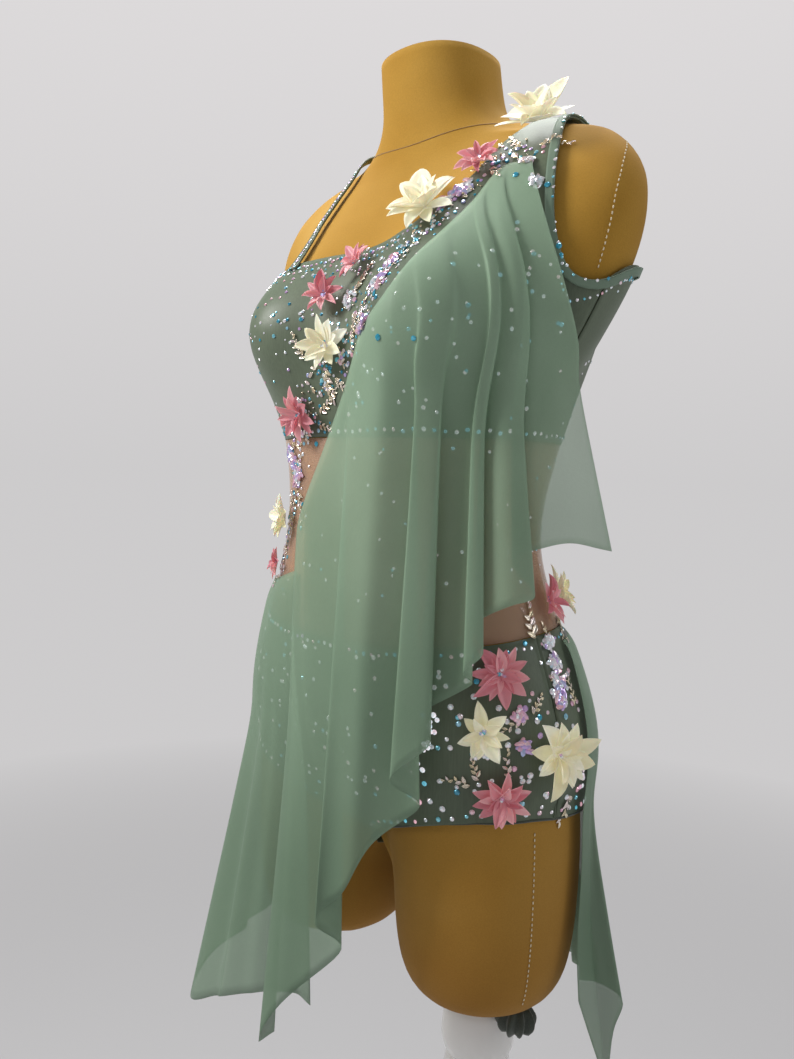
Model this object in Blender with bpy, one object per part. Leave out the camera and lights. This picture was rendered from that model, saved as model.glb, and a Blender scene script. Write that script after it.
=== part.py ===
"""Dance leotard with a cascading front drape and a half skirt, worn by a dress form on a stand.

Tables and sizes are in centimetres. Heights count from the waist and angles are in degrees
round the body, from the wearer's left (+X) through the back (+Y). The front faces -Y.
"""

import math

import bmesh
import bpy
import numpy as np
from mathutils.bvhtree import BVHTree

CM = 0.01
WAIST_HEIGHT = 100.0

# Cloth walls and the small clearances between pieces.
CLOTH = 0.12
SKIN_GAP = 0.26
SEAM = 0.06
LAYER_GAP = 0.10

# Torso sections: height, half width, front depth, back depth, centre y.
TORSO_ROWS = [
    (-30, 15.5, 8.0, 8.5, 0.6),
    (-26, 16.8, 8.9, 10.6, 0.6),
    (-20, 17.8, 9.7, 12.4, 0.5),
    (-14, 17.2, 9.9, 11.6, 0.3),
    (-8, 15.0, 9.7, 9.6, 0.1),
    (0, 12.4, 9.1, 8.6, 0.0),
    (6, 12.9, 9.3, 9.4, 0.5),
    (12, 14.3, 9.8, 10.6, 1.0),
    (18, 15.8, 10.0, 11.8, 1.8),
    (24, 16.6, 9.2, 11.8, 2.6),
    (28, 16.2, 8.2, 11.0, 3.2),
    (31.4, 14.8, 6.8, 9.2, 3.8),
    (34, 11.6, 5.8, 7.4, 4.2),
    (36.2, 7.8, 5.4, 6.0, 4.0),
    (38.4, 5.9, 5.4, 5.2, 3.5),
    (41, 5.5, 5.5, 5.0, 3.0),
    (43.2, 5.4, 5.5, 4.9, 2.7),
]
TORSO_ROUNDNESS = 2.3

# Short shoulder caps: height, reach in x, half depth.
SHOULDER_ROWS = [
    (13.0, 12.0, 2.5),
    (15.5, 15.2, 3.4),
    (18.0, 17.2, 4.2),
    (20.0, 18.4, 4.7),
    (22.5, 19.6, 5.2),
    (25.0, 20.3, 5.5),
    (28.0, 20.6, 5.5),
    (30.5, 20.2, 5.0),
    (32.8, 18.8, 4.1),
    (34.6, 16.2, 2.8),
    (36.0, 11.0, 1.4),
    (37.4, 4.0, 0.8),
]
SHOULDER_ROUNDNESS = 3.0
SHOULDER_BLEND = 10.0

# The bust is a soft swelling of the torso's front on each side.
BUST_X = 9.0
BUST_HEIGHT = 18.6
BUST_REACH = 5.0
BUST_SPREAD_X = 6.0
BUST_SPREAD_Z = 6.2

# Thigh stubs: height, radius.
THIGH_ROWS = [
    (-41.0, 0.8),
    (-40.5, 4.2),
    (-39.0, 6.6),
    (-36.0, 7.7),
    (-32.0, 8.1),
    (-26.0, 8.2),
    (-22.0, 7.9),
    (-18.0, 6.4),
    (-12.0, 0.5),
]
THIGH_X = 9.4
THIGH_Y = 0.8
THIGH_DEPTH = 1.05
TORSO_CLOSES_FROM = -18.0
TORSO_CLOSES_IN = 10.4
CROTCH_BLEND = 1.3
CROTCH_HEIGHT = -27.0
CROTCH_CENTRE = (0.6, -22.0)

FORM_COLUMNS = 40
FORM_CROWDING = 0.35
FORM_HEIGHTS = [
    43.2, 40.8, 38.8, 37.2, 36.1, 35.4, 34.9, 34.5, 34.0, 33.0, 31.4, 29.2, 26.8, 24.4, 22, 19.8,
    17.6, 15.4, 13.2, 11, 8.8, 6.4, 4, 1.8, -0.4, -2.6, -5, -8, -11.4, -15, -18, -20.4, -22.4,
    -24.2, -25.7,
]
NECK_DOME = 0.6
THIGH_HEIGHTS = [-30.4, -34.0, -37.4, -39.6, -40.6]
THIGH_DOME = 0.15
CROTCH_POINTS = 7

# The stand: a turned post under the left thigh and a round base plate.
BASE_RADIUS = 20.0
BASE_THICKNESS = 1.4
BASE_BEVEL = 0.4
BASE_SEGMENTS = 32
POST_X = 9.2
POST_Y = 0.8
POST_SEGMENTS = 12
STAND_GAP = 0.03
# Post profile from the top: drop below the thigh, radius.
POST_ROWS = [
    (0.0, 2.2), (0.5, 2.7), (1.6, 3.1), (3.6, 3.3), (4.8, 3.0), (5.2, 2.6), (5.8, 2.9), (9.0, 3.2),
    (16.0, 2.6), (27.0, 2.2), (38.0, 2.5), (46.0, 3.2), (49.0, 3.4), (50.0, 2.8), (51.0, 3.2),
    (53.0, 4.4),
]

# Cutting lines of the close-fitting panels: angle, height. The other side seam is at 180.
SIDE_SEAM_LEFT = -5.0
HALF_SEAM_ANGLE = 0.2
UNDERBUST = 8.6
BODICE_FRONT_TOP = [
    (-180, 20.9), (-165, 20.9), (-148, 22.0), (-128, 24.1), (-108, 24.5), (-88, 24.5), (-72, 24.8),
    (-58, 26.0), (-46, 28.2), (-17, 25.0), (-15, 22.4), (-11, 20.5), (-5, 21.2),
]
BODICE_BACK_TOP = [
    (-5, 21.2), (0, 22.6), (8, 23.0), (16, 23.0), (21, 23.8), (26, 25.6), (52, 28.0), (66, 26.0),
    (84, 24.6), (104, 24.2), (126, 24.2), (150, 22.6), (166, 21.2), (180, 20.9),
]
# Where the left shoulder grows out of the front and the back.
FRONT_STRAP_SPAN = (-46.0, -17.0)
BACK_STRAP_SPAN = (26.0, 52.0)
# Columns of the two panels: first angle, last angle, spaces between.
BODICE_FRONT_COLUMNS = [
    (-180 + HALF_SEAM_ANGLE, -160, 5),
    (-160, -128, 5),
    (-128, FRONT_STRAP_SPAN[0], 13),
    (FRONT_STRAP_SPAN[0], FRONT_STRAP_SPAN[1], 5),
    (FRONT_STRAP_SPAN[1], SIDE_SEAM_LEFT - HALF_SEAM_ANGLE, 3),
]
BODICE_BACK_COLUMNS = [
    (SIDE_SEAM_LEFT + HALF_SEAM_ANGLE, BACK_STRAP_SPAN[0], 7),
    (BACK_STRAP_SPAN[0], BACK_STRAP_SPAN[1], 4),
    (BACK_STRAP_SPAN[1], 160, 13),
    (160, 180 - HALF_SEAM_ANGLE, 5),
]
# The left shoulder: neck edge x, y, height, then armhole edge x, y, height.
SHOULDER_FRONT = [
    (8.9, -3.6, 29.7, 15.9, -1.9, 27.5),
    (9.8, -1.2, 32.6, 15.4, -0.9, 30.4),
    (10.4, 0.8, 34.4, 14.7, 0.8, 33.2),
    (10.9, 2.6, 35.6, 14.0, 2.6, 34.8),
    (11.0, 4.2, 35.9, 13.9, 4.2, 35.1),
]
SHOULDER_BACK = [
    (11.0, 4.26, 35.9, 13.9, 4.26, 35.1),
    (10.9, 6.6, 35.2, 14.1, 6.2, 34.6),
    (10.6, 8.8, 33.4, 14.7, 8.2, 32.6),
    (10.0, 11.2, 30.9, 15.2, 9.7, 29.4),
]
SHOULDER_STEPS = 9
SHOULDER_SLACK = 0.065

BRIEF_TOP = [
    (-180, -7.4), (-150, -8.0), (-120, -8.6), (-90, -8.8), (-60, -8.8), (-30, -8.2), (-5, -7.5),
    (60, -6.6), (120, -6.6), (180, -7.4),
]
BRIEF_FRONT_COLUMNS = [
    (-180 + HALF_SEAM_ANGLE, -98, 12),
    (-98, -82, 2),
    (-82, SIDE_SEAM_LEFT - HALF_SEAM_ANGLE, 11),
]
BRIEF_BACK_COLUMNS = [
    (SIDE_SEAM_LEFT + HALF_SEAM_ANGLE, 82, 12),
    (82, 98, 2),
    (98, 180 - HALF_SEAM_ANGLE, 12),
]
MIDRIFF_COLUMNS = 25
# The leg line on one side; the other side mirrors it.
LEG_LINE = [
    (-90, -27.0), (-82, -27.0), (-70, -25.9), (-53, -24.5), (-43, -23.3), (-35, -22.5), (-26, -22.0),
    (-11, -21.8), (5, -22.4), (30, -23.8), (56, -24.9), (72, -26.0), (82, -27.0), (90, -27.0),
]
BRIEF_GAP = 0.33
GUSSET_GAP = 0.55
GUSSET_REACH = 0.25
GUSSET_END_GAP = 0.15

# The narrow right strap: x, y and height along its middle.
STRAP_ROUTE = [
    (-7.1, -8.8, 23.6), (-7.9, -6.0, 27.0), (-8.2, -4.2, 29.2), (-7.9, -2.6, 31.6), (-7.5, -0.8, 34.2),
    (-7.3, 1.4, 36.0), (-7.3, 4.2, 36.6), (-7.4, 7.6, 35.6), (-7.6, 10.4, 32.6), (-7.7, 12.6, 28.8),
    (-7.8, 13.9, 23.2),
]
STRAP_WIDTH = 0.9
STRAP_STEPS = 30
STRAP_GAP = 0.42
STRAP_THICKNESS = 0.16
BINDING_WIDTH = 0.7
BINDING_POINTS = 48

# Front drape, a row for each fold edge or bend from the free edge to the right hip: place
# along the garland, the hem's x, y and height, then the room left for layers beneath it.
GARLAND_ROUTE = [
    (13.7, -1.9, 30.6), (11.3, -2.6, 30.2), (10.2, -5.2, 26.8), (9.0, -8.9, 23.2), (7.3, -11.6, 19.4),
    (3.4, -10.8, 16.0), (0.4, -9.5, 11.4), (-2.4, -9.1, 6.6), (-4.8, -8.9, 2.4), (-6.4, -8.8, -2.4),
    (-8.0, -8.9, -7.0),
]
DRAPE_ROWS = [
    (0.0, 20.0, 2.2, -0.2, 1.2),
    (0.3, 18.5, -1.4, 0.5, 0.8),
    (0.55, 16.9, -3.8, 0.0, 0.3),
    (0.75, 15.4, -5.4, -1.0, 0.0),
    (0.95, 17.7, -5.2, -3.4, 1.9),
    (1.15, 16.6, -6.9, -4.2, 1.7),
    (1.4, 13.8, -7.9, -6.0, 0.1),
    (1.6, 15.6, -8.7, -7.7, 2.0),
    (1.75, 14.6, -10.1, -9.2, 2.2),
    (1.9, 14.3, -8.7, -10.4, 1.0),
    (2.1, 12.0, -9.8, -12.1, 0.3),
    (2.35, 10.3, -10.6, -13.4, 0.0),
    (2.6, 12.9, -11.3, -14.7, 2.0),
    (3.0, 10.4, -13.3, -17.6, 2.4),
    (3.3, 11.6, -10.9, -20.0, 0.9),
    (3.8, 8.1, -12.6, -23.6, 0.8),
    (4.4, 6.2, -13.8, -27.9, 1.4),
    (5.2, 4.3, -15.2, -30.5, 2.3),
    (5.7, 5.7, -13.3, -32.9, 0.7),
    (6.6, 0.7, -14.7, -38.6, 1.4),
    (7.6, -2.3, -15.4, -43.4, 2.2),
    (8.1, -1.2, -14.4, -42.6, 1.2),
]
DRAPE_STEPS_ACROSS = 3
DRAPE_STEPS_DOWN = 10
DRAPE_TOP_GAP = 0.58
DRAPE_REST_GAP = 1.02
SOFTNESS = 0.5
THIGH_COLUMN = -34.0

# Back skirt: angle along the top seam, then the hem's angle, radius and height. These rows
# are the folds at the left hip and the right hip; even folds fill the back between them.
SKIRT_TOP = [(8, -8.4), (30, -8.0), (60, -7.0), (180, -6.0), (215, -5.0), (238, -3.6)]
SKIRT_LEFT = [
    (8.0, 4.0, 19.0, -37.8),
    (9.5, 8.5, 20.4, -43.5),
    (11.0, 10.5, 20.9, -46.0),
    (13.5, 11.5, 21.2, -41.0),
    (16.5, 12.5, 21.8, -38.2),
    (20.0, 20.0, 18.6, -38.8),
    (25.0, 27.0, 17.0, -40.4),
    (31.0, 35.0, 19.2, -41.4),
    (37.0, 41.0, 16.6, -41.0),
]
SKIRT_RIGHT = [
    (196.0, 203.0, 16.6, -42.0),
    (202.0, 211.0, 19.6, -44.0),
    (209.0, 222.0, 20.4, -46.2),
    (216.0, 231.0, 17.6, -44.2),
    (222.0, 237.0, 17.2, -43.2),
    (227.0, 244.0, 15.0, -42.0),
    (232.0, 251.0, 13.4, -41.2),
    (236.0, 260.0, 11.6, -41.0),
]
SKIRT_BACK_FOLDS = 7
SKIRT_RIDGE = 20.2
SKIRT_VALLEY = 16.4
SKIRT_BACK_HEM = -42.4
SKIRT_STEPS_ACROSS = 2
SKIRT_STEPS_DOWN = 9
SKIRT_TOP_GAP = 0.60

# Fabric flowers: x, y and height where each is sewn, radius, stalk, petals, colour.
FLOWERS = [
    (12.9, 0.4, 33.6, 2.7, 1.4, 8, "cream"),
    (8.9, -2.9, 31.0, 1.7, 0.2, 7, "pink"),
    (6.0, -5.9, 27.2, 2.7, 0.2, 7, "cream"),
    (0.9, -8.2, 23.0, 1.6, 0.6, 7, "pink"),
    (-1.9, -9.3, 20.2, 1.5, 0.9, 7, "pink"),
    (-1.2, -9.9, 16.3, 2.0, 0.4, 7, "cream"),
    (-4.6, -9.5, 10.8, 1.9, 0.2, 8, "pink"),
    (-8.4, -7.8, 1.2, 2.1, 0.1, 8, "cream"),
    (-9.9, -8.0, -3.2, 1.4, 0.1, 7, "pink"),
    (14.3, -5.0, -10.2, 2.1, 0.1, 8, "pink"),
    (14.3, -6.8, -14.4, 1.7, 0.1, 6, "cream"),
    (17.6, -1.7, -16.4, 2.6, 0.1, 8, "cream"),
    (15.4, -5.6, -19.4, 2.0, 0.1, 8, "pink"),
    (14.2, 1.5, -5.0, 1.6, 0.1, 7, "pink"),
    (12.9, 5.0, -4.6, 1.9, 0.1, 8, "cream"),
]
FLOWER_CUP = 0.32
FLOWER_WALL = 0.14
FLOWER_SEAT_GAP = 0.045
FLOWER_SEARCH = 1.0
FLOWER_RIM_TURN = 0.8
# Shares of a flower's radius: its foot, its heart and the notches between petals.
FLOWER_FOOT = 0.16
FLOWER_HEART = 0.2
FLOWER_NOTCH = 0.5

COLOURS = {
    "mustard_cloth": (0.36, 0.20, 0.055, 0.85, 0.0),
    "white_gloss": (0.80, 0.79, 0.75, 0.25, 0.0),
    "sage_stretch": (0.105, 0.135, 0.105, 0.38, 0.0),
    "skin_mesh": (0.56, 0.38, 0.25, 0.70, 0.0),
    "sage_mesh": (0.20, 0.33, 0.24, 0.60, 0.0),
    "mint_binding": (0.19, 0.30, 0.22, 0.60, 0.0),
    "cream": (0.80, 0.76, 0.52, 0.65, 0.0),
    "pink": (0.62, 0.20, 0.24, 0.65, 0.0),
}


def smooth_curve(rows):
    """Read a table as smooth curves over its first column."""
    table = np.array(rows, dtype=float)
    keys = table[:, 0]
    slopes = np.gradient(table[:, 1:], keys, axis=0)
    fine = np.linspace(keys[0], keys[-1], 30 * len(keys))
    left = np.clip(np.searchsorted(keys, fine) - 1, 0, len(keys) - 2)
    span = (keys[left + 1] - keys[left])[:, None]
    part = (fine - keys[left])[:, None] / span
    start, end = table[left, 1:], table[left + 1, 1:]
    values = (2 * part**3 - 3 * part**2 + 1) * start
    values += (part**3 - 2 * part**2 + part) * span * slopes[left]
    values += (3 * part**2 - 2 * part**3) * end
    values += (part**3 - part**2) * span * slopes[left + 1]
    return fine, values


def look_up(curve, key):
    """The curve's columns at one key or an array of keys."""
    fine, values = curve
    return [np.interp(key, fine, values[:, column]) for column in range(values.shape[1])]


def line_height(rows, angle):
    """Height of a cutting line at an angle."""
    table = np.array(rows, dtype=float)
    return np.interp(angle, table[:, 0], table[:, 1])


TORSO = smooth_curve(TORSO_ROWS)
SHOULDER = smooth_curve(SHOULDER_ROWS)
THIGH = smooth_curve(THIGH_ROWS)


def bust_swelling(x, base, height):
    """Forward push of the bust at a point of the plain torso."""
    lean = np.clip(-1.6 * base / np.maximum(np.hypot(x, base), 0.1), 0, 1)
    lobes = 0.0
    for side in (-1, 1):
        across = (x - side * BUST_X) / BUST_SPREAD_X
        up = (height - BUST_HEIGHT) / BUST_SPREAD_Z
        lobes = lobes + np.exp(-across**2 - up**2)
    return BUST_REACH * lobes * lean


def torso_value(points):
    """Signed distance to the torso, roughly: zero on its surface and negative inside."""
    x, y, height = points[..., 0], points[..., 1], points[..., 2]
    half, front, back, centre = look_up(TORSO, height)
    closing = np.clip((TORSO_CLOSES_FROM - height) / TORSO_CLOSES_IN, 0, 0.999)
    shrink = np.sqrt(1 - closing**2)
    y = y - centre
    base = y
    for _ in range(3):
        base = y + bust_swelling(x, base, height)
    depth = np.where(base < 0, front, back) * shrink
    power = TORSO_ROUNDNESS
    ratio = (np.abs(x / (half * shrink)) ** power + np.abs(base / depth) ** power) ** (1 / power)
    reach = np.maximum(np.hypot(x, y), 0.01)
    torso_radius = reach / np.maximum(ratio, 0.001)
    arm_reach, arm_depth = look_up(SHOULDER, height)
    power = SHOULDER_ROUNDNESS
    ratio = (np.abs(x / reach / arm_reach) ** power + np.abs(y / reach / arm_depth) ** power)
    arm_radius = ratio ** (-1 / power)
    low, high = SHOULDER_ROWS[0][0], SHOULDER_ROWS[-1][0]
    arm_radius = np.where((height > low) & (height < high), arm_radius, 0.0)
    power = SHOULDER_BLEND
    scale = np.maximum(torso_radius, arm_radius)
    blend = (torso_radius / scale) ** power + (arm_radius / scale) ** power
    radius = scale * blend ** (1 / power)
    return reach - radius


def thigh_value(points, side):
    """Signed distance to one thigh stub, roughly."""
    x, y, height = points[..., 0], points[..., 1], points[..., 2]
    radius = look_up(THIGH, height)[0]
    return np.hypot(x - side * THIGH_X, (y - THIGH_Y) / THIGH_DEPTH) - radius


def soft_minimum(first, second, blend):
    mix = np.clip(0.5 + 0.5 * (second - first) / blend, 0, 1)
    return second * (1 - mix) + first * mix - blend * mix * (1 - mix)


def body_value(points):
    """Signed distance to the whole dress form, roughly."""
    value = torso_value(points)
    for side in (-1, 1):
        value = soft_minimum(value, thigh_value(points, side), CROTCH_BLEND)
    return value


def body_slope(points):
    """Unit outward direction and the steepness of body_value."""
    step = 0.05
    slope = np.zeros_like(points)
    for axis in range(3):
        shift = np.zeros(3)
        shift[axis] = step
        slope[..., axis] = (body_value(points + shift) - body_value(points - shift)) / (2 * step)
    steepness = np.linalg.norm(slope, axis=-1)
    return slope / steepness[..., None], steepness


def to_surface(origins, directions):
    """Where rays from inside the form leave it."""
    near = np.zeros(origins.shape[:-1])
    found = np.zeros_like(near, dtype=bool)
    for distance in np.arange(0.4, 27.0, 0.4):
        outside = body_value(origins + directions * distance) > 0
        near = np.where(~found & ~outside, distance, near)
        found |= outside
    far = near + 0.4
    for _ in range(16):
        middle = (near + far) / 2
        outside = body_value(origins + directions * middle[..., None]) > 0
        far = np.where(outside, middle, far)
        near = np.where(outside, near, middle)
    return origins + directions * near[..., None]


def distance_off(points, floor=-99.0):
    """Distance off the body and the way out; below the floor the body counts as a column."""
    beside = np.array(points, dtype=float)
    beside[..., 2] = np.maximum(beside[..., 2], floor)
    direction, steepness = body_slope(beside)
    return body_value(beside) / steepness, direction


def to_level(points, level, floor=-99.0):
    """Move points along the body's slope until they lie a given distance off it."""
    points = np.array(points, dtype=float)
    for _ in range(6):
        distance, direction = distance_off(points, floor)
        points = points + direction * (level - distance)[..., None]
    return points


def polar_points(angles, heights):
    """Points of the form's surface at angles (degrees) round the torso's axis."""
    angles, heights = np.broadcast_arrays(np.radians(angles), np.asarray(heights, dtype=float))
    centre = look_up(TORSO, heights)[3]
    origins = np.stack([np.zeros_like(heights), centre, heights], axis=-1)
    directions = np.stack([np.cos(angles), np.sin(angles), np.zeros_like(heights)], axis=-1)
    return to_surface(origins, directions)


def polar_grid(angles, low, high, rows, crowding=1.0):
    """Rows of surface points between two cutting lines, crowded towards the low one."""
    share = (np.linspace(0, 1, rows + 1) ** crowding)[:, None]
    heights = np.asarray(low) + (np.asarray(high) - np.asarray(low)) * share
    return polar_points(np.asarray(angles)[None, :], heights)


def crotch_points(x, count, first, last):
    """Points under the crotch from front to back, in a plane of fixed x."""
    swings = np.radians(np.linspace(first, last, count))
    y, height = CROTCH_CENTRE
    origins = np.tile([x, y, height], (count, 1))
    directions = np.stack([np.zeros(count), np.sin(swings), -np.cos(swings)], axis=-1)
    return to_surface(origins, directions)


def crotch_swing(point):
    """The swing from straight down at which crotch_points meets a point."""
    y, height = CROTCH_CENTRE
    return math.degrees(math.atan2(point[1] - y, height - point[2]))


def join_columns(groups):
    """Angles from groups that share their end values, each first, last and how many spaces."""
    joined = [groups[0][0]]
    for first, last, spaces in groups:
        joined += list(np.linspace(first, last, spaces + 1)[1:])
    return np.array(joined)


def to_world(point):
    return (point[0] * CM, point[1] * CM, (point[2] + WAIST_HEIGHT) * CM)


def material(name):
    red, green, blue, roughness, metallic = COLOURS[name]
    made = bpy.data.materials.get(name) or bpy.data.materials.new(name)
    made.use_nodes = True
    shader = made.node_tree.nodes["Principled BSDF"]
    shader.inputs["Base Color"].default_value = (red, green, blue, 1.0)
    shader.inputs["Roughness"].default_value = roughness
    shader.inputs["Metallic"].default_value = metallic
    made.diffuse_color = (red, green, blue, 1.0)
    return made


def add_mesh(name, points, faces, colour):
    """One object from points in centimetres, its faces turned outward."""
    mesh = bpy.data.meshes.new(name)
    mesh.from_pydata([to_world(point) for point in points], [], faces)
    mesh.materials.append(material(colour))
    mesh.shade_smooth()
    made = bpy.data.objects.new(name, mesh)
    bpy.context.scene.collection.objects.link(made)
    return made


def sheet_of_grids(grids):
    """Weld grids that share edges into one list of points and one of quads."""
    points, index, faces = [], {}, []
    for grid in grids:
        numbers = np.zeros(grid.shape[:2], dtype=int)
        for row in range(grid.shape[0]):
            for column in range(grid.shape[1]):
                key = tuple(np.round(grid[row, column], 3))
                if key not in index:
                    index[key] = len(points)
                    points.append(grid[row, column])
                numbers[row, column] = index[key]
        for row in range(grid.shape[0] - 1):
            for column in range(grid.shape[1] - 1):
                faces.append((
                    numbers[row, column], numbers[row, column + 1],
                    numbers[row + 1, column + 1], numbers[row + 1, column],
                ))
    return np.array(points), faces


def add_fitted_wall(name, grids, colour, gap=SKIN_GAP, thickness=CLOTH):
    """A cloth wall that follows the form at a small gap."""
    points, faces = sheet_of_grids(grids)
    return add_wall(name, points, faces, body_slope(points)[0], colour, gap, thickness)


def grid_directions(grid):
    """Unit directions square to a grid, on its lower side."""
    direction = np.cross(np.gradient(grid, axis=0), np.gradient(grid, axis=1))
    direction /= np.linalg.norm(direction, axis=-1)[..., None]
    return -direction if direction[..., 2].sum() > 0 else direction


def add_wall(name, points, faces, direction, colour, gap=SKIN_GAP, thickness=CLOTH):
    """A closed wall whose points lie off a surface along their outward directions."""
    count = len(points)
    inner = points + direction * gap
    outer = points + direction * (gap + thickness)
    walls = list(faces) + [tuple(number + count for number in reversed(face)) for face in faces]
    edges = {}
    for face in faces:
        for start, end in zip(face, face[1:] + face[:1]):
            edges[(start, end)] = edges.get((start, end), 0) + 1
    for start, end in edges:
        if (end, start) not in edges:
            walls.append((end, start, start + count, end + count))
    made = add_mesh(name, np.concatenate([outer, inner]), walls, colour)
    turn_outward(made)
    return made


def turn_outward(made):
    """Face every polygon of a closed mesh outward."""
    work = bmesh.new()
    work.from_mesh(made.data)
    bmesh.ops.recalc_face_normals(work, faces=work.faces)
    if work.calc_volume(signed=True) < 0:
        bmesh.ops.reverse_faces(work, faces=work.faces)
    work.to_mesh(made.data)
    work.free()


def form_angles():
    """Column angles round the form, closer together at the shoulder caps."""
    even = np.arange(FORM_COLUMNS) * 2 * math.pi / FORM_COLUMNS - math.pi / 2
    return np.degrees(even - FORM_CROWDING / 2 * np.sin(2 * even))


def crotch_lines(torso_row):
    """The line under the crotch and the thigh lines on each side of it, front to back."""
    half = FORM_COLUMNS // 2
    swings = crotch_swing(torso_row[0]), crotch_swing(torso_row[half])
    arch = crotch_points(0.0, CROTCH_POINTS + 2, swings[0], swings[1])
    sides = []
    for side in (-1, 1):
        around = np.arctan2(arch[:, 1] - THIGH_Y, -side * THIGH_X * np.ones(len(arch)))
        radius = look_up(THIGH, THIGH_HEIGHTS[0])[0]
        x = side * THIGH_X + radius * np.cos(around)
        y = THIGH_Y + radius * THIGH_DEPTH * np.sin(around)
        sides.append(np.stack([x, y, np.full(len(arch), THIGH_HEIGHTS[0])], axis=-1))
    return sides[0], arch, sides[1]


def build_dress_form():
    """The padded torso with neck, shoulder caps and thigh stubs, as one closed solid."""
    angles = form_angles()
    heights = FORM_HEIGHTS + [CROTCH_HEIGHT]
    torso = np.array([polar_points(angles, height) for height in heights])
    points = [point for row in torso for point in row]
    faces = []
    count = FORM_COLUMNS
    for row in range(len(heights) - 1):
        for column in range(count):
            after = (column + 1) % count
            above, below = row * count, (row + 1) * count
            faces.append((above + column, above + after, below + after, below + column))
    neck = len(points)
    points.append(np.array([0.0, look_up(TORSO, heights[0])[3], heights[0] + NECK_DOME]))
    for column in range(count):
        faces.append((neck, (column + 1) % count, column))
    last = (len(heights) - 1) * count
    arch = crotch_lines(torso[-1])[1][1:-1]
    arch_start = len(points)
    points += list(arch)
    arch_numbers = list(range(arch_start, arch_start + CROTCH_POINTS))
    for side in (1, -1):
        if side > 0:
            outer = [last + column for column in range(count // 2 + 1)]
        else:
            outer = [last + (count - column) % count for column in range(count // 2 + 1)]
        loop = outer + arch_numbers[::-1]
        faces += thigh_faces(points, loop, side)
    made = add_mesh("dress_form", points, faces, "mustard_cloth")
    turn_outward(made)
    return made


def thigh_faces(points, loop, side):
    """Rings down one thigh stub from the loop where it leaves the torso."""
    faces = []
    ring = np.array([points[number] for number in loop])
    angles = np.arctan2(ring[:, 1] - THIGH_Y, ring[:, 0] - side * THIGH_X)
    previous = loop
    size = len(loop)
    for height in THIGH_HEIGHTS:
        radius = look_up(THIGH, height)[0]
        start = len(points)
        for angle in angles:
            x = side * THIGH_X + radius * math.cos(angle)
            y = THIGH_Y + radius * THIGH_DEPTH * math.sin(angle)
            points.append(np.array([x, y, height]))
        current = list(range(start, start + size))
        for place in range(size):
            after = (place + 1) % size
            faces.append((previous[place], previous[after], current[after], current[place]))
        previous = current
    tip = len(points)
    points.append(np.array([side * THIGH_X, THIGH_Y, THIGH_HEIGHTS[-1] - THIGH_DOME]))
    for place in range(size):
        faces.append((previous[place], previous[(place + 1) % size], tip))
    return faces


def build_stand():
    """A turned post and a round plate that rests on the floor."""
    work = bmesh.new()
    bmesh.ops.create_cone(
        work, cap_ends=True, segments=BASE_SEGMENTS, radius1=BASE_RADIUS * CM, radius2=BASE_RADIUS * CM,
        depth=BASE_THICKNESS * CM,
    )
    mesh = bpy.data.meshes.new("stand_base")
    work.to_mesh(mesh)
    work.free()
    mesh.materials.append(material("white_gloss"))
    plate = bpy.data.objects.new("stand_base", mesh)
    plate.location = (0, 0, BASE_THICKNESS * CM / 2)
    bpy.context.scene.collection.objects.link(plate)
    bevel = plate.modifiers.new("round_rim", "BEVEL")
    bevel.width = BASE_BEVEL * CM
    bevel.segments = 1
    bevel.limit_method = "ANGLE"

    top = THIGH_HEIGHTS[-1] - THIGH_DOME - STAND_GAP
    bottom = BASE_THICKNESS + STAND_GAP - WAIST_HEIGHT
    stretch = (top - bottom) / POST_ROWS[-1][0]
    points, faces = [], []
    segments = POST_SEGMENTS
    for drop, radius in POST_ROWS:
        for step in range(segments):
            turn = 2 * math.pi * step / segments
            x = POST_X + radius * math.cos(turn)
            y = POST_Y + radius * math.sin(turn)
            points.append((x, y, top - drop * stretch))
    for ring in range(len(POST_ROWS) - 1):
        for step in range(segments):
            after = (step + 1) % segments
            above, below = ring * segments, (ring + 1) * segments
            faces.append((above + step, below + step, below + after, above + after))
    faces.append(tuple(range(segments)))
    faces.append(tuple(reversed(range(len(points) - segments, len(points)))))
    turn_outward(add_mesh("stand_post", points, faces, "white_gloss"))


def shoulder_grid(first_row, rows, flip):
    """Rows over the left shoulder, from a row of the panel below to the shoulder seam."""
    share = np.linspace(0, 1, len(first_row))
    if flip:
        share = share[::-1]
    curve = smooth_curve([(number, *row) for number, row in enumerate(rows)])
    grid = [first_row]
    for number in np.linspace(0, len(rows) - 1, SHOULDER_STEPS):
        edges = np.array(look_up(curve, number))
        guess = edges[:3] + (edges[3:] - edges[:3]) * share[:, None]
        grid.append(to_level(guess, SHOULDER_SLACK))
    return np.array(grid)


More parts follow.
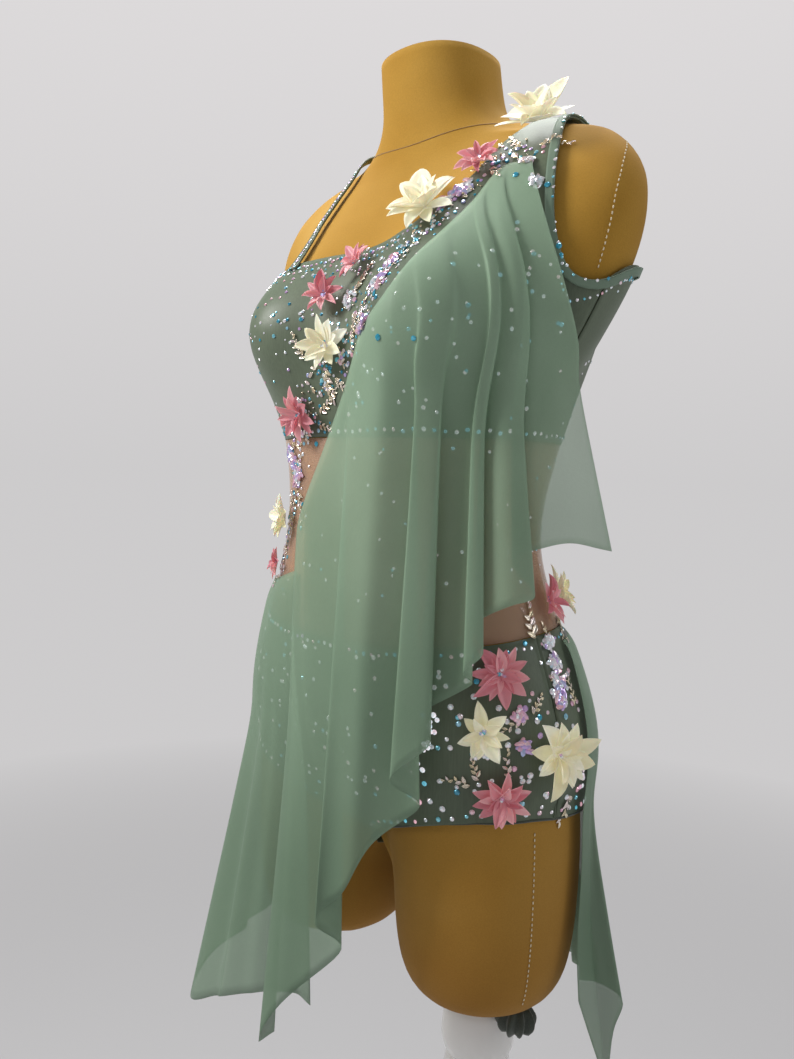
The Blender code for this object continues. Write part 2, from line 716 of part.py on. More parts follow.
def build_bodice():
    """Front and back panels, each growing into half of the wide left shoulder."""
    low = UNDERBUST + SEAM / 2
    start, end = FRONT_STRAP_SPAN
    angles = join_columns(BODICE_FRONT_COLUMNS)
    front = polar_grid(angles, low, line_height(BODICE_FRONT_TOP, angles), 11)
    inside = (angles >= start - 0.01) & (angles <= end + 0.01)
    shoulder = shoulder_grid(front[-1][inside], SHOULDER_FRONT, False)
    add_fitted_wall("bodice_front", [front, shoulder], "sage_stretch")
    front_edge = [front[-1][index] for index in range(len(angles)) if angles[index] >= end - 0.01]
    front_edge = front_edge[::-1] + [row[-1] for row in shoulder[1:]]

    start, end = BACK_STRAP_SPAN
    angles = join_columns(BODICE_BACK_COLUMNS)
    back = polar_grid(angles, low, line_height(BODICE_BACK_TOP, angles), 8)
    inside = (angles >= start - 0.01) & (angles <= end + 0.01)
    shoulder = shoulder_grid(back[-1][inside], SHOULDER_BACK[::-1], True)
    add_fitted_wall("bodice_back", [back, shoulder], "sage_stretch")
    back_edge = [back[-1][index] for index in range(len(angles)) if angles[index] <= start + 0.01]
    back_edge = back_edge + [row[0] for row in shoulder[1:]]
    return front_edge + back_edge[::-1]


def build_midriff():
    """Skin-coloured mesh between the bodice and the brief."""
    for name, first, last in (
        ("midriff_front", -180 + HALF_SEAM_ANGLE, SIDE_SEAM_LEFT - HALF_SEAM_ANGLE),
        ("midriff_back", SIDE_SEAM_LEFT + HALF_SEAM_ANGLE, 180 - HALF_SEAM_ANGLE),
    ):
        angles = np.linspace(first, last, MIDRIFF_COLUMNS)
        low = line_height(BRIEF_TOP, angles) + SEAM / 2
        grid = polar_grid(angles, low, np.full(len(angles), UNDERBUST - SEAM / 2), 6)
        add_fitted_wall(name, [grid], "skin_mesh")


def leg_height(angles):
    """The leg line at any angle, mirrored for the right leg."""
    mirrored = np.where(np.abs(angles) > 90, np.sign(angles) * 180 - angles, angles)
    return line_height(LEG_LINE, mirrored)


def build_brief():
    """Front and back of the brief, and the gusset between the legs."""
    for name, groups in (("brief_front", BRIEF_FRONT_COLUMNS), ("brief_back", BRIEF_BACK_COLUMNS)):
        angles = join_columns(groups)
        high = line_height(BRIEF_TOP, angles) - SEAM / 2
        grid = polar_grid(angles, leg_height(angles), high, 8, 1.5)
        add_fitted_wall(name, [grid], "sage_stretch", BRIEF_GAP)
    right, arch, left = crotch_lines(polar_points(form_angles(), CROTCH_HEIGHT))
    grid = np.array([arch + (right - arch) * GUSSET_REACH, arch, arch + (left - arch) * GUSSET_REACH])
    direction = np.repeat(grid_directions(grid)[1:2], 3, axis=0)
    grid[:, (0, -1), 2] -= GUSSET_END_GAP
    points, faces = sheet_of_grids([grid])
    add_wall("brief_gusset", points, faces, direction.reshape(-1, 3), "sage_stretch", GUSSET_GAP)


def band_grid(route, inner, outer, closed):
    """Two rows of surface points either side of a route."""
    route = to_level(np.array(route, dtype=float), 0.0)
    if closed:
        ahead, behind = np.roll(route, -1, axis=0), np.roll(route, 1, axis=0)
    else:
        ahead = np.concatenate([route[1:], route[-1:]])
        behind = np.concatenate([route[:1], route[:-1]])
    along = ahead - behind
    along /= np.linalg.norm(along, axis=1)[:, None]
    side = np.cross(body_slope(route)[0], along)
    grid = np.array([to_level(route + side * inner, 0.0), to_level(route + side * outer, 0.0)])
    if closed:
        grid = np.concatenate([grid, grid[:, :1]], axis=1)
    return grid


def even_loop(route, count):
    """Evenly spaced points round a closed route, softened a little at its corners."""
    route = np.array(route + route[:1])
    lengths = np.linalg.norm(np.diff(route, axis=0), axis=1)
    travelled = np.concatenate([[0.0], np.cumsum(lengths)])
    places = np.linspace(0, travelled[-1], count, endpoint=False)
    loop = np.stack([np.interp(places, travelled, route[:, axis]) for axis in range(3)], axis=-1)
    for _ in range(2):
        loop = (np.roll(loop, 1, axis=0) + 2 * loop + np.roll(loop, -1, axis=0)) / 4
    return loop


def build_trims(armhole):
    """The narrow right strap and the binding round the left armhole."""
    numbered = [(place, *row) for place, row in enumerate(STRAP_ROUTE)]
    places = np.linspace(0, len(STRAP_ROUTE) - 1, STRAP_STEPS)
    route = np.stack(look_up(smooth_curve(numbered), places), axis=-1)
    grid = band_grid(route, -STRAP_WIDTH / 2, STRAP_WIDTH / 2, False)
    add_fitted_wall("strap_right", [grid], "sage_stretch", STRAP_GAP, STRAP_THICKNESS)
    gap = SKIN_GAP + SHOULDER_SLACK + CLOTH + LAYER_GAP
    grid = band_grid(even_loop(armhole, BINDING_POINTS), 0.0, BINDING_WIDTH, True)
    add_fitted_wall("armhole_binding", [grid], "mint_binding", gap, CLOTH)


def hang(tops, hems, layers, steps, top_gap):
    """Hang a strand of cloth from each top to its hem, kept clear of the body below it."""
    share = (np.linspace(0, 1, steps + 1) ** 1.4)[:, None]
    points = tops[None] + (hems - tops)[None] * share[..., None]
    wanted = DRAPE_REST_GAP + layers[None] * share
    slack = distance_off(points, THIGH_COLUMN)[0] - wanted
    level = wanted + (slack + np.sqrt(slack**2 + SOFTNESS**2)) / 2
    lifted = to_level(points, level, THIGH_COLUMN)
    lifted = np.where((slack > 4 * SOFTNESS)[..., None], points, lifted)
    lifted[0] = to_level(tops, top_gap)
    return lifted


def add_hanging_cloth(name, grid):
    """A sheet given its thickness by a Solidify modifier."""
    points, faces = sheet_of_grids([grid])
    made = add_mesh(name, points, faces, "sage_mesh")
    solid = made.modifiers.new("cloth", "SOLIDIFY")
    solid.thickness = CLOTH * CM
    solid.offset = 0.0
    return made


def build_front_drape():
    """The mesh cascade that falls from the left shoulder and along the garland."""
    route = smooth_curve([(place, *row) for place, row in enumerate(GARLAND_ROUTE)])
    rows = smooth_curve([(number, *row) for number, row in enumerate(DRAPE_ROWS)])
    last = len(DRAPE_ROWS) - 1
    numbers = np.linspace(0, last, last * DRAPE_STEPS_ACROSS + 1)
    place, x, y, height, layer = look_up(rows, numbers)
    tops = np.stack(look_up(route, place), axis=-1)
    grid = hang(tops, np.stack([x, y, height], axis=-1), layer, DRAPE_STEPS_DOWN, DRAPE_TOP_GAP)
    add_hanging_cloth("front_drape", grid)


def skirt_rows():
    """All the skirt's folds: the left hip, even folds round the back, the right hip."""
    rows = list(SKIRT_LEFT)
    first, last = SKIRT_LEFT[-1], SKIRT_RIGHT[0]
    steps = 2 * SKIRT_BACK_FOLDS
    for step in range(1, steps):
        share = step / steps
        top = first[0] + (last[0] - first[0]) * share
        hem = first[1] + (last[1] - first[1]) * share + 1.5 * math.sin(2.3 * step)
        ridge = step % 2 == 1
        radius = (SKIRT_RIDGE if ridge else SKIRT_VALLEY) + 0.7 * math.sin(1.7 * step)
        height = SKIRT_BACK_HEM - (1.6 if ridge else 0.2) + 0.8 * math.cos(1.1 * step)
        rows.append((top, hem, radius, height))
    return rows + SKIRT_RIGHT


def build_back_skirt():
    """The half skirt from the left hip round the back to the right hip."""
    table = skirt_rows()
    rows = smooth_curve([(number, *row) for number, row in enumerate(table)])
    last = len(table) - 1
    numbers = np.linspace(0, last, last * SKIRT_STEPS_ACROSS + 1)
    top_angle, hem_angle, radius, height = look_up(rows, numbers)
    tops = polar_points(top_angle, line_height(SKIRT_TOP, top_angle))
    turn = np.radians(hem_angle)
    hems = np.stack([radius * np.cos(turn), radius * np.sin(turn), height], axis=-1)
    grid = hang(tops, hems, np.zeros(len(numbers)), SKIRT_STEPS_DOWN, SKIRT_TOP_GAP)
    add_hanging_cloth("back_skirt", grid)


def cloth_tree(names):
    """The triangles of several panels, for finding where something sewn to them sits."""
    points, triangles = [], []
    for name in names:
        mesh = bpy.data.objects[name].data
        mesh.calc_loop_triangles()
        start = len(points)
        points += [vertex.co.copy() for vertex in mesh.vertices]
        triangles += [[start + number for number in face.vertices] for face in mesh.loop_triangles]
    return BVHTree.FromPolygons(points, triangles)


def cloth_seat(tree, place):
    """A point just off the cloth outside a place on the body, and the way out there."""
    outside = to_level(np.array([place]), FLOWER_SEARCH)[0]
    found, normal = tree.find_nearest(to_world(outside))[:2]
    found = np.array(found) / CM - np.array([0.0, 0.0, WAIST_HEIGHT])
    outward = body_slope(found)[0]
    if outward.dot(normal) > FLOWER_RIM_TURN:
        outward = np.array(normal)
    return found + outward * FLOWER_SEAT_GAP, outward


def add_flower(name, row, turn, tree):
    """One pointed-petal flower as a cupped rosette on a short foot."""
    x, y, height, radius, stalk, petals, colour = row
    seat, up = cloth_seat(tree, (x, y, height))
    across = np.cross(up, [0.0, 0.0, 1.0])
    across /= np.linalg.norm(across)
    other = np.cross(up, across)
    outline = 2 * petals
    points = []

    def ring(reach_tip, reach_notch, rise_tip, rise_notch):
        start = len(points)
        for step in range(outline):
            angle = turn + math.pi * step / petals
            tip = step % 2 == 0
            reach = reach_tip if tip else reach_notch
            rise = rise_tip if tip else rise_notch
            offset = across * (reach * math.cos(angle)) + other * (reach * math.sin(angle))
            points.append(seat + offset + up * rise)
        return list(range(start, start + outline))

    cup = FLOWER_CUP * radius
    wall = FLOWER_WALL
    notch = FLOWER_NOTCH * radius
    notch_cup = FLOWER_NOTCH * cup
    foot = ring(FLOWER_FOOT * radius, FLOWER_FOOT * radius, 0.0, 0.0)
    under = ring(radius, notch, cup + stalk, notch_cup + stalk)
    over = ring(radius, notch, cup + wall + stalk, notch_cup + wall + stalk)
    top = 2 * wall + stalk
    heart = ring(FLOWER_HEART * radius, FLOWER_HEART * radius, top, top)
    faces = []
    for low, high in ((foot, under), (under, over), (over, heart)):
        for step in range(outline):
            after = (step + 1) % outline
            faces.append((low[step], low[after], high[after], high[step]))
    faces.append(tuple(foot[::-1]))
    faces.append(tuple(heart))
    turn_outward(add_mesh(name, points, faces, colour))


def main():
    for old in list(bpy.data.objects):
        bpy.data.objects.remove(old, do_unlink=True)
    build_dress_form()
    build_stand()
    armhole = build_bodice()
    build_midriff()
    build_brief()
    build_trims(armhole)
    build_front_drape()
    build_back_skirt()
    tree = cloth_tree(["bodice_front", "midriff_front", "midriff_back", "brief_front"])
    for number, row in enumerate(FLOWERS, start=1):
        add_flower(f"flower_{row[-1]}_{number:02d}", row, 0.7 * number, tree)


main()
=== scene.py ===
import math
import random

import bmesh
import bpy
import numpy as np
from mathutils import Matrix, Vector
from mathutils.bvhtree import BVHTree


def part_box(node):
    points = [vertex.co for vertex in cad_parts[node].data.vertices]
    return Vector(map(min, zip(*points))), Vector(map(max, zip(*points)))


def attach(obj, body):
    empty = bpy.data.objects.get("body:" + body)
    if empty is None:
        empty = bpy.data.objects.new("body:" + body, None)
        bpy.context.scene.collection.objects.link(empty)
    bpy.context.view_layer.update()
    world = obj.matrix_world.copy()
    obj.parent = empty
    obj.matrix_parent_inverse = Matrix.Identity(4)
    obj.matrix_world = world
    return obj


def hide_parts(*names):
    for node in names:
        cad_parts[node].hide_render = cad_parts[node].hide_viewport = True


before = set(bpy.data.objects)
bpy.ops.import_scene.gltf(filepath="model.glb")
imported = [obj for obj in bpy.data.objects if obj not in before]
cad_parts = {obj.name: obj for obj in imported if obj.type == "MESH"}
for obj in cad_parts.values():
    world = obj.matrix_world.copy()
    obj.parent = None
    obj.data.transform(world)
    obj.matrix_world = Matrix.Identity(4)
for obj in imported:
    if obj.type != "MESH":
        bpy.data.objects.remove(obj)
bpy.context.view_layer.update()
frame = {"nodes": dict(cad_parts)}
nodes = frame["nodes"]
print("frame loaded,", len(nodes), "solids")

waistHeight = 1.0  # tables below are in centimetres from the waist


# small helpers

def fromWaist(rows):
    return np.array(rows, dtype=float) * 0.01 + np.array([0.0, 0.0, waistHeight])


def throughRows(rows, places):
    # smooth curve through a table's rows, read at row numbers
    table = np.array(rows, dtype=float)
    slope = np.gradient(table, axis=0)
    left = np.clip(np.floor(places).astype(int), 0, len(table) - 2)
    part = (np.asarray(places) - left)[:, None]
    start, end = table[left], table[left + 1]
    return (
        (2 * part**3 - 3 * part**2 + 1) * start + (part**3 - 2 * part**2 + part) * slope[left]
        + (3 * part**2 - 2 * part**3) * end + (part**3 - part**2) * slope[left + 1]
    )


def lineHeight(line, angle):
    table = np.array(line, dtype=float)
    return np.interp(angle, table[:, 0], table[:, 1])


def meshPiece(name, points, faces, finish, smooth=True):
    mesh = bpy.data.meshes.new(name)
    mesh.from_pydata([tuple(point) for point in points], [], [tuple(face) for face in faces])
    mesh.materials.append(finish)
    if smooth:
        mesh.shade_smooth()
    piece = bpy.data.objects.new(name, mesh)
    bpy.context.scene.collection.objects.link(piece)
    return piece


def settle(piece):
    # keeps what the modifiers make as a plain mesh
    graph = bpy.context.evaluated_depsgraph_get()
    made = bpy.data.meshes.new_from_object(piece.evaluated_get(graph), depsgraph=graph)
    piece.modifiers.clear()
    piece.data = made
    return piece


def closedRings(rings, sides):
    # faces of stacked rings from the top down, with both ends closed
    faces = []
    for ring in range(rings - 1):
        for step in range(sides):
            after = (step + 1) % sides
            upper, lower = ring * sides, (ring + 1) * sides
            faces.append((upper + step, lower + step, lower + after, upper + after))
    faces.append(tuple(range(sides)))
    faces.append(tuple(reversed(range((rings - 1) * sides, rings * sides))))
    return faces


def thicken(piece, thickness):
    wall = piece.modifiers.new("thickness", "SOLIDIFY")
    wall.thickness = thickness
    wall.offset = 0.0
    return settle(piece)


def lathe(name, profile, centre, sides, finish):
    # radius and height pairs from the top down, turned about a vertical line
    x, y = centre
    points = []
    for radius, height in profile:
        for step in range(sides):
            turn = 2 * math.pi * step / sides
            points.append((x + radius * math.cos(turn), y + radius * math.sin(turn), height))
    return meshPiece(name, points, closedRings(len(profile), sides), finish)


def tubeAlong(name, route, radius, finish, closed=False, sides=6):
    route = np.array(route, dtype=float)
    if closed:
        ahead, behind = np.roll(route, -1, axis=0), np.roll(route, 1, axis=0)
    else:
        ahead, behind = np.vstack([route[1:], route[-1:]]), np.vstack([route[:1], route[:-1]])
    points, faces = [], []
    for here, after, before in zip(route, ahead, behind):
        along = Vector(after - before).normalized()
        side = along.cross(Vector((0.13, 0.27, 1.0))).normalized()
        other = along.cross(side)
        for step in range(sides):
            turn = 2 * math.pi * step / sides
            across, over = radius * math.cos(turn), radius * math.sin(turn)
            points.append(Vector(here) + side * across + other * over)
    rings = len(route)
    for ring in range(rings if closed else rings - 1):
        upper, lower = ring * sides, ((ring + 1) % rings) * sides
        for step in range(sides):
            after = (step + 1) % sides
            faces.append((upper + step, upper + after, lower + after, lower + step))
    if not closed:
        faces.append(tuple(reversed(range(sides))))
        faces.append(tuple(range(len(points) - sides, len(points))))
    return meshPiece(name, points, faces, finish)


def surfaceTree(pieces):
    points, faces = [], []
    for piece in pieces:
        start = len(points)
        points += [vertex.co.copy() for vertex in piece.data.vertices]
        faces += [[start + number for number in face.vertices] for face in piece.data.polygons]
    return BVHTree.FromPolygons(points, faces)


# finishes

white = (1.0, 1.0, 1.0)


def newFinish(name, values):
    finish = bpy.data.materials.new(name)
    finish.use_nodes = True
    shader = finish.node_tree.nodes["Principled BSDF"]
    for socket, value in values.items():
        shader.inputs[socket].default_value = value
    return finish


def addNode(finish, kind, values=None, **settings):
    node = finish.node_tree.nodes.new(kind)
    for key, value in settings.items():
        setattr(node, key, value)
    for socket, value in (values or {}).items():
        node.inputs[socket].default_value = value
    return node


def join(finish, source, output, target, socket):
    finish.node_tree.links.new(source.outputs[output], target.inputs[socket])


def shaderOf(finish):
    return finish.node_tree.nodes["Principled BSDF"]


def noiseOn(finish, scale, detail=3.0, stretch=(1, 1, 1), coords="Object"):
    place = addNode(finish, "ShaderNodeTexCoord")
    mapping = addNode(finish, "ShaderNodeMapping", {"Scale": stretch})
    noise = addNode(finish, "ShaderNodeTexNoise", {"Scale": scale, "Detail": detail})
    join(finish, place, coords, mapping, "Vector")
    join(finish, mapping, "Vector", noise, "Vector")
    return noise


def rampOn(finish, source, output, stops):
    ramp = addNode(finish, "ShaderNodeValToRGB")
    while len(ramp.color_ramp.elements) < len(stops):
        ramp.color_ramp.elements.new(0.5)
    for element, (place, colour) in zip(ramp.color_ramp.elements, stops):
        element.position = place
        element.color = (*colour, 1.0)
    join(finish, source, output, ramp, "Fac")
    return ramp


def mixOn(finish, factor, first, second, kind="MIX"):
    # factor is a number or an output, first an output, second a colour or an output
    mix = addNode(finish, "ShaderNodeMix", data_type="RGBA", blend_type=kind)
    for number, value in ((0, factor), (6, first), (7, second)):
        if isinstance(value, bpy.types.NodeSocket):
            finish.node_tree.links.new(value, mix.inputs[number])
        else:
            mix.inputs[number].default_value = value
    return mix.outputs[2]


def speckled(finish, colour, noise, low, high, strength, first=0.3, last=0.7):
    # a colour dimmed a little by a noise
    dim = rampOn(finish, noise, 0, [(first, low), (last, high)])
    return mixOn(finish, strength, colour, dim.outputs["Color"], "MULTIPLY")


def bumpOn(finish, layers):
    # layers of noise: scale, detail, stretch, strength, depth in metres, coordinates
    last = None
    for scale, detail, stretch, strength, depth, coords in layers:
        noise = noiseOn(finish, scale, detail, stretch, coords)
        bump = addNode(finish, "ShaderNodeBump", {"Strength": strength, "Distance": depth})
        join(finish, noise, 0, bump, "Height")
        if last:
            join(finish, last, "Normal", bump, "Normal")
        last = bump
    join(finish, last, "Normal", shaderOf(finish), "Normal")


def colourFrom(finish, output):
    finish.node_tree.links.new(output, shaderOf(finish).inputs["Base Color"])


def makeMustardCanvas():
    # cover cloth of the form: mottled ochre with wear, browner low down as painted shade, fine woven tooth
    finish = newFinish("mustardCanvas", {
        "Roughness": 0.88, "Sheen Weight": 0.04, "Specular IOR Level": 0.25,
    })
    broad = noiseOn(finish, 7.0, 3.0)
    colour = rampOn(finish, broad, 0, [
        (0.32, (0.40, 0.205, 0.022)), (0.52, (0.47, 0.26, 0.038)), (0.72, (0.52, 0.305, 0.060)),
    ])
    place = addNode(finish, "ShaderNodeTexCoord")
    split = addNode(finish, "ShaderNodeSeparateXYZ")
    join(finish, place, "Object", split, "Vector")
    # painted shade: below 0.95 m the cloth is mixed ever more towards a darker brown
    low = addNode(finish, "ShaderNodeMapRange", {"From Min": 0.95, "From Max": 0.62, "To Max": 0.55})
    join(finish, split, "Z", low, "Value")
    wearAndPaintedLowShade = mixOn(finish, low.outputs["Result"], colour.outputs["Color"], (0.30, 0.135, 0.028, 1.0))
    fine = noiseOn(finish, 900.0, 2.0)
    colourFrom(finish, speckled(finish, wearAndPaintedLowShade, fine, (0.80, 0.80, 0.80), white, 0.6))
    bumpOn(finish, [
        (1100.0, 2.0, (1, 1, 0.25), 0.25, 0.0004, "Object"),
        (1100.0, 2.0, (0.25, 0.25, 1), 0.25, 0.0004, "Object"),
        (16.0, 2.0, (1, 1, 1), 0.25, 0.004, "Object"),
    ])
    return finish


def makeStretchJersey():
    # dark sage stretch cloth with a soft satin sheen and fine upright ribs
    finish = newFinish("sageJersey", {
        "Roughness": 0.44, "Sheen Weight": 0.18, "Sheen Roughness": 0.35, "Specular IOR Level": 0.35,
    })
    shaderOf(finish).inputs["Sheen Tint"].default_value = (0.62, 0.78, 0.66, 1.0)
    broad = noiseOn(finish, 9.0, 2.0)
    colour = rampOn(finish, broad, 0, [(0.3, (0.100, 0.132, 0.088)), (0.7, (0.145, 0.182, 0.122))])
    ribs = noiseOn(finish, 700.0, 1.0, (1, 1, 0.05))
    dim = (0.86, 0.86, 0.86)
    colourFrom(finish, speckled(finish, colour.outputs["Color"], ribs, dim, white, 0.7, 0.35, 0.65))
    bumpOn(finish, [
        (800.0, 1.0, (1, 1, 0.06), 0.2, 0.0003, "Object"), (22.0, 2.0, (1, 1, 1), 0.2, 0.002, "Object"),
    ])
    return finish


def makeSheer(name, tones, alpha, coords, sheen, atHem=0.0):
    # see-through knitted mesh: its threads vary the colour and how much shows through,
    # and it darkens downwards as painted shade, with atHem added to its cover there
    finish = newFinish(name, {"Roughness": 0.62, "Sheen Weight": sheen, "Sheen Roughness": 0.4})
    shaderOf(finish).inputs["Sheen Tint"].default_value = (0.80, 0.95, 0.86, 1.0)
    broad = noiseOn(finish, 12.0, 2.0)
    colour = rampOn(finish, broad, 0, [(0.3, tones[0]), (0.7, tones[1])])
    across = noiseOn(finish, 1900.0, 1.0, (0.08, 1, 1), coords)
    down = noiseOn(finish, 1900.0, 1.0, (1, 0.08, 1), coords)
    threads = addNode(finish, "ShaderNodeMath", operation="ADD")
    join(finish, across, 0, threads, 0)
    join(finish, down, 0, threads, 1)
    dim = (0.95, 0.95, 0.95)
    cloth = speckled(finish, colour.outputs["Color"], threads, dim, white, 0.6, 0.35, 0.65)
    place = addNode(finish, "ShaderNodeTexCoord")
    split = addNode(finish, "ShaderNodeSeparateXYZ")
    join(finish, place, "Object", split, "Vector")
    # painted shade: below 1.2 m the colour is mixed ever more towards a darker tone
    low = addNode(finish, "ShaderNodeMapRange", {"From Min": 1.2, "From Max": 0.72, "To Max": 0.72})
    join(finish, split, "Z", low, "Value")
    red, green, blue = tones[0]
    paintedHemShade = (red * 0.35, green * 0.40, blue * 0.36, 1.0)
    colourFrom(finish, mixOn(finish, low.outputs["Result"], cloth, paintedHemShade))
    cover = addNode(finish, "ShaderNodeMapRange", {
        "From Min": 0.7, "From Max": 1.3, "To Min": alpha - 0.02, "To Max": alpha + 0.02,
    })
    join(finish, threads, 0, cover, "Value")
    deeper = addNode(finish, "ShaderNodeMath", {1: atHem}, operation="MULTIPLY_ADD")
    join(finish, low, "Result", deeper, 0)
    join(finish, cover, "Result", deeper, 2)
    rim = addNode(finish, "ShaderNodeAttribute", attribute_name="rim")
    total = addNode(finish, "ShaderNodeMath", {1: 0.10}, operation="MULTIPLY_ADD", use_clamp=True)
    join(finish, rim, "Fac", total, 0)
    join(finish, deeper, 0, total, 2)
    join(finish, total, 0, shaderOf(finish), "Alpha")
    bumpOn(finish, [(70.0, 2.0, (1, 1, 1), 0.05, 0.0005, coords)])
    return finish


def makePetal(name, tones, cover):
    # satin petals, each petal of its own tone, with a fine crinkled texture
    finish = newFinish(name, {
        "Roughness": 0.42, "Sheen Weight": 0.3, "Subsurface Weight": 0.15, "Subsurface Scale": 0.004,
        "Alpha": cover, "Emission Strength": 0.14,  # painted glow: the petals emit a little of their own colour, standing in for light that comes through the thin satin
    })
    tone = addNode(finish, "ShaderNodeAttribute", attribute_name="tone")
    colour = rampOn(finish, tone, "Fac", [(0.0, tones[0]), (0.5, tones[1]), (1.0, tones[2])])
    cloudy = noiseOn(finish, 90.0, 3.0)
    cloth = speckled(finish, colour.outputs["Color"], cloudy, (0.84, 0.84, 0.84), white, 0.7)
    colourFrom(finish, cloth)
    finish.node_tree.links.new(cloth, shaderOf(finish).inputs["Emission Color"])
    bumpOn(finish, [(260.0, 2.0, (1, 1, 1), 0.35, 0.0006, "Object")])
    return finish


def makeCrystal(name, glint):
    # foil-backed stones; the tone picks clear, rose, lilac, aqua or teal
    finish = newFinish(name, {
        "Roughness": 0.08, "Metallic": 0.45, "Coat Weight": 1.0, "Coat Roughness": 0.02, "IOR": 1.9,
        "Emission Strength": glint,
    })
    tone = addNode(finish, "ShaderNodeAttribute", attribute_name="tone")
    colour = rampOn(finish, tone, "Fac", [
        (0.0, (0.90, 0.91, 0.94)), (0.42, (0.82, 0.84, 0.88)), (0.50, (0.86, 0.48, 0.56)),
        (0.62, (0.55, 0.40, 0.76)),
        (0.74, (0.25, 0.66, 0.76)), (0.86, (0.03, 0.40, 0.56)), (1.0, (0.01, 0.20, 0.32)),
    ])
    shift = noiseOn(finish, 420.0, 1.0)
    glow = rampOn(finish, shift, 0, [(0.30, (0.70, 0.92, 1.0)), (0.50, white), (0.70, (1.0, 0.86, 0.94))])
    stone = mixOn(finish, 0.8, colour.outputs["Color"], glow.outputs["Color"], "MULTIPLY")
    colourFrom(finish, stone)
    # painted glint: the stones emit their own colour, so they glow a little though they are no lamp
    finish.node_tree.links.new(stone, shaderOf(finish).inputs["Emission Color"])
    return finish


def makeGilt():
    # pale gold beads and cupped sequins
    finish = newFinish("paleGilt", {"Roughness": 0.22, "Metallic": 0.75, "Coat Weight": 0.4})
    tone = addNode(finish, "ShaderNodeAttribute", attribute_name="tone")
    colour = rampOn(finish, tone, "Fac", [
        (0.0, (0.78, 0.66, 0.44)), (0.5, (0.88, 0.80, 0.64)), (1.0, (0.93, 0.80, 0.80)),
    ])
    grain = noiseOn(finish, 600.0, 1.0)
    colourFrom(finish, speckled(finish, colour.outputs["Color"], grain, (0.85, 0.85, 0.85), white, 0.6))
    return finish


def makeEnamel():
    # white gloss paint with faint runs and dust
    finish = newFinish("whiteEnamel", {"Coat Weight": 0.5, "Coat Roughness": 0.05})
    broad = noiseOn(finish, 14.0, 3.0, (1, 1, 0.3))
    paint = rampOn(finish, broad, 0, [(0.3, (0.86, 0.85, 0.82)), (0.7, (0.93, 0.92, 0.90))])
    colourFrom(finish, paint.outputs["Color"])
    gloss = addNode(finish, "ShaderNodeMapRange", {"To Min": 0.12, "To Max": 0.26})
    join(finish, broad, 0, gloss, "Value")
    join(finish, gloss, "Result", shaderOf(finish), "Roughness")
    bumpOn(finish, [(40.0, 2.0, (1, 1, 0.4), 0.08, 0.001, "Object")])
    return finish


def makeThread(name, low, high):
    finish = newFinish(name, {"Roughness": 0.7, "Sheen Weight": 0.3})
    twist = noiseOn(finish, 1500.0, 1.0)
    colourFrom(finish, rampOn(finish, twist, 0, [(0.3, low), (0.7, high)]).outputs["Color"])
    bumpOn(finish, [(1800.0, 1.0, (1, 1, 1), 0.4, 0.0002, "Object")])
    return finish


canvasFinish = makeMustardCanvas()
jerseyFinish = makeStretchJersey()
drapeFinish = makeSheer("sageMesh", ((0.345, 0.510, 0.350), (0.400, 0.570, 0.405)), 0.465, "UV", 0.15, 0.22)
bindingFinish = makeSheer("mintBinding", ((0.13, 0.20, 0.14), (0.18, 0.26, 0.19)), 0.93, "Object", 0.4)
nudeFinish = makeSheer("nudeMesh", ((0.72, 0.46, 0.33), (0.82, 0.55, 0.41)), 0.40, "Object", 0.2)
creamFinish = makePetal("creamSatin", ((0.86, 0.80, 0.55), (0.92, 0.88, 0.67), (0.94, 0.92, 0.79)), 0.93)
pinkFinish = makePetal(
    "dustyPinkSatin", ((0.56, 0.165, 0.21), (0.71, 0.285, 0.325), (0.84, 0.44, 0.46)), 0.97,
)
crystalFinish = makeCrystal("crystal", 0.10)
veiledCrystal = makeCrystal("crystalUnderMesh", 0.65)  # painted glint: these stones glow more strongly, so they show through the drape
giltFinish = makeGilt()
enamelFinish = makeEnamel()
paleThread = makeThread("paleThread", (0.62, 0.52, 0.33), (0.78, 0.70, 0.50))
darkThread = makeThread("darkThread", (0.03, 0.04, 0.03), (0.06, 0.075, 0.055))
seamThread = makeThread("seamThread", (0.22, 0.11, 0.02), (0.30, 0.16, 0.035))
print("finishes ready")


# close-fitting pieces, smoothed from their solids

def smoothCopy(nodeName, pieceName, finish, levels):
    work = bmesh.new()
    work.from_mesh(nodes[nodeName].data)
    bmesh.ops.remove_doubles(work, verts=work.verts, dist=0.00004)
    bmesh.ops.join_triangles(
        work, faces=work.faces, angle_face_threshold=1.0, angle_shape_threshold=3.1,
    )
    mesh = bpy.data.meshes.new(pieceName)
    creases = work.edges.layers.float.new("crease_edge")
    for edge in work.edges:  # cut edges stay where the solid has them
        if len(edge.link_faces) == 2 and edge.calc_face_angle() > 0.75:
            edge[creases] = 1.0
    work.to_mesh(mesh)
    work.free()
    mesh.materials.clear()
    mesh.materials.append(finish)
    mesh.shade_smooth()
    piece = bpy.data.objects.new(pieceName, mesh)
    bpy.context.scene.collection.objects.link(piece)
    rounding = piece.modifiers.new("rounding", "SUBSURF")
    rounding.levels = rounding.render_levels = levels
    settle(piece)
    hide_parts(nodeName)
    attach(piece, "root")
    return piece


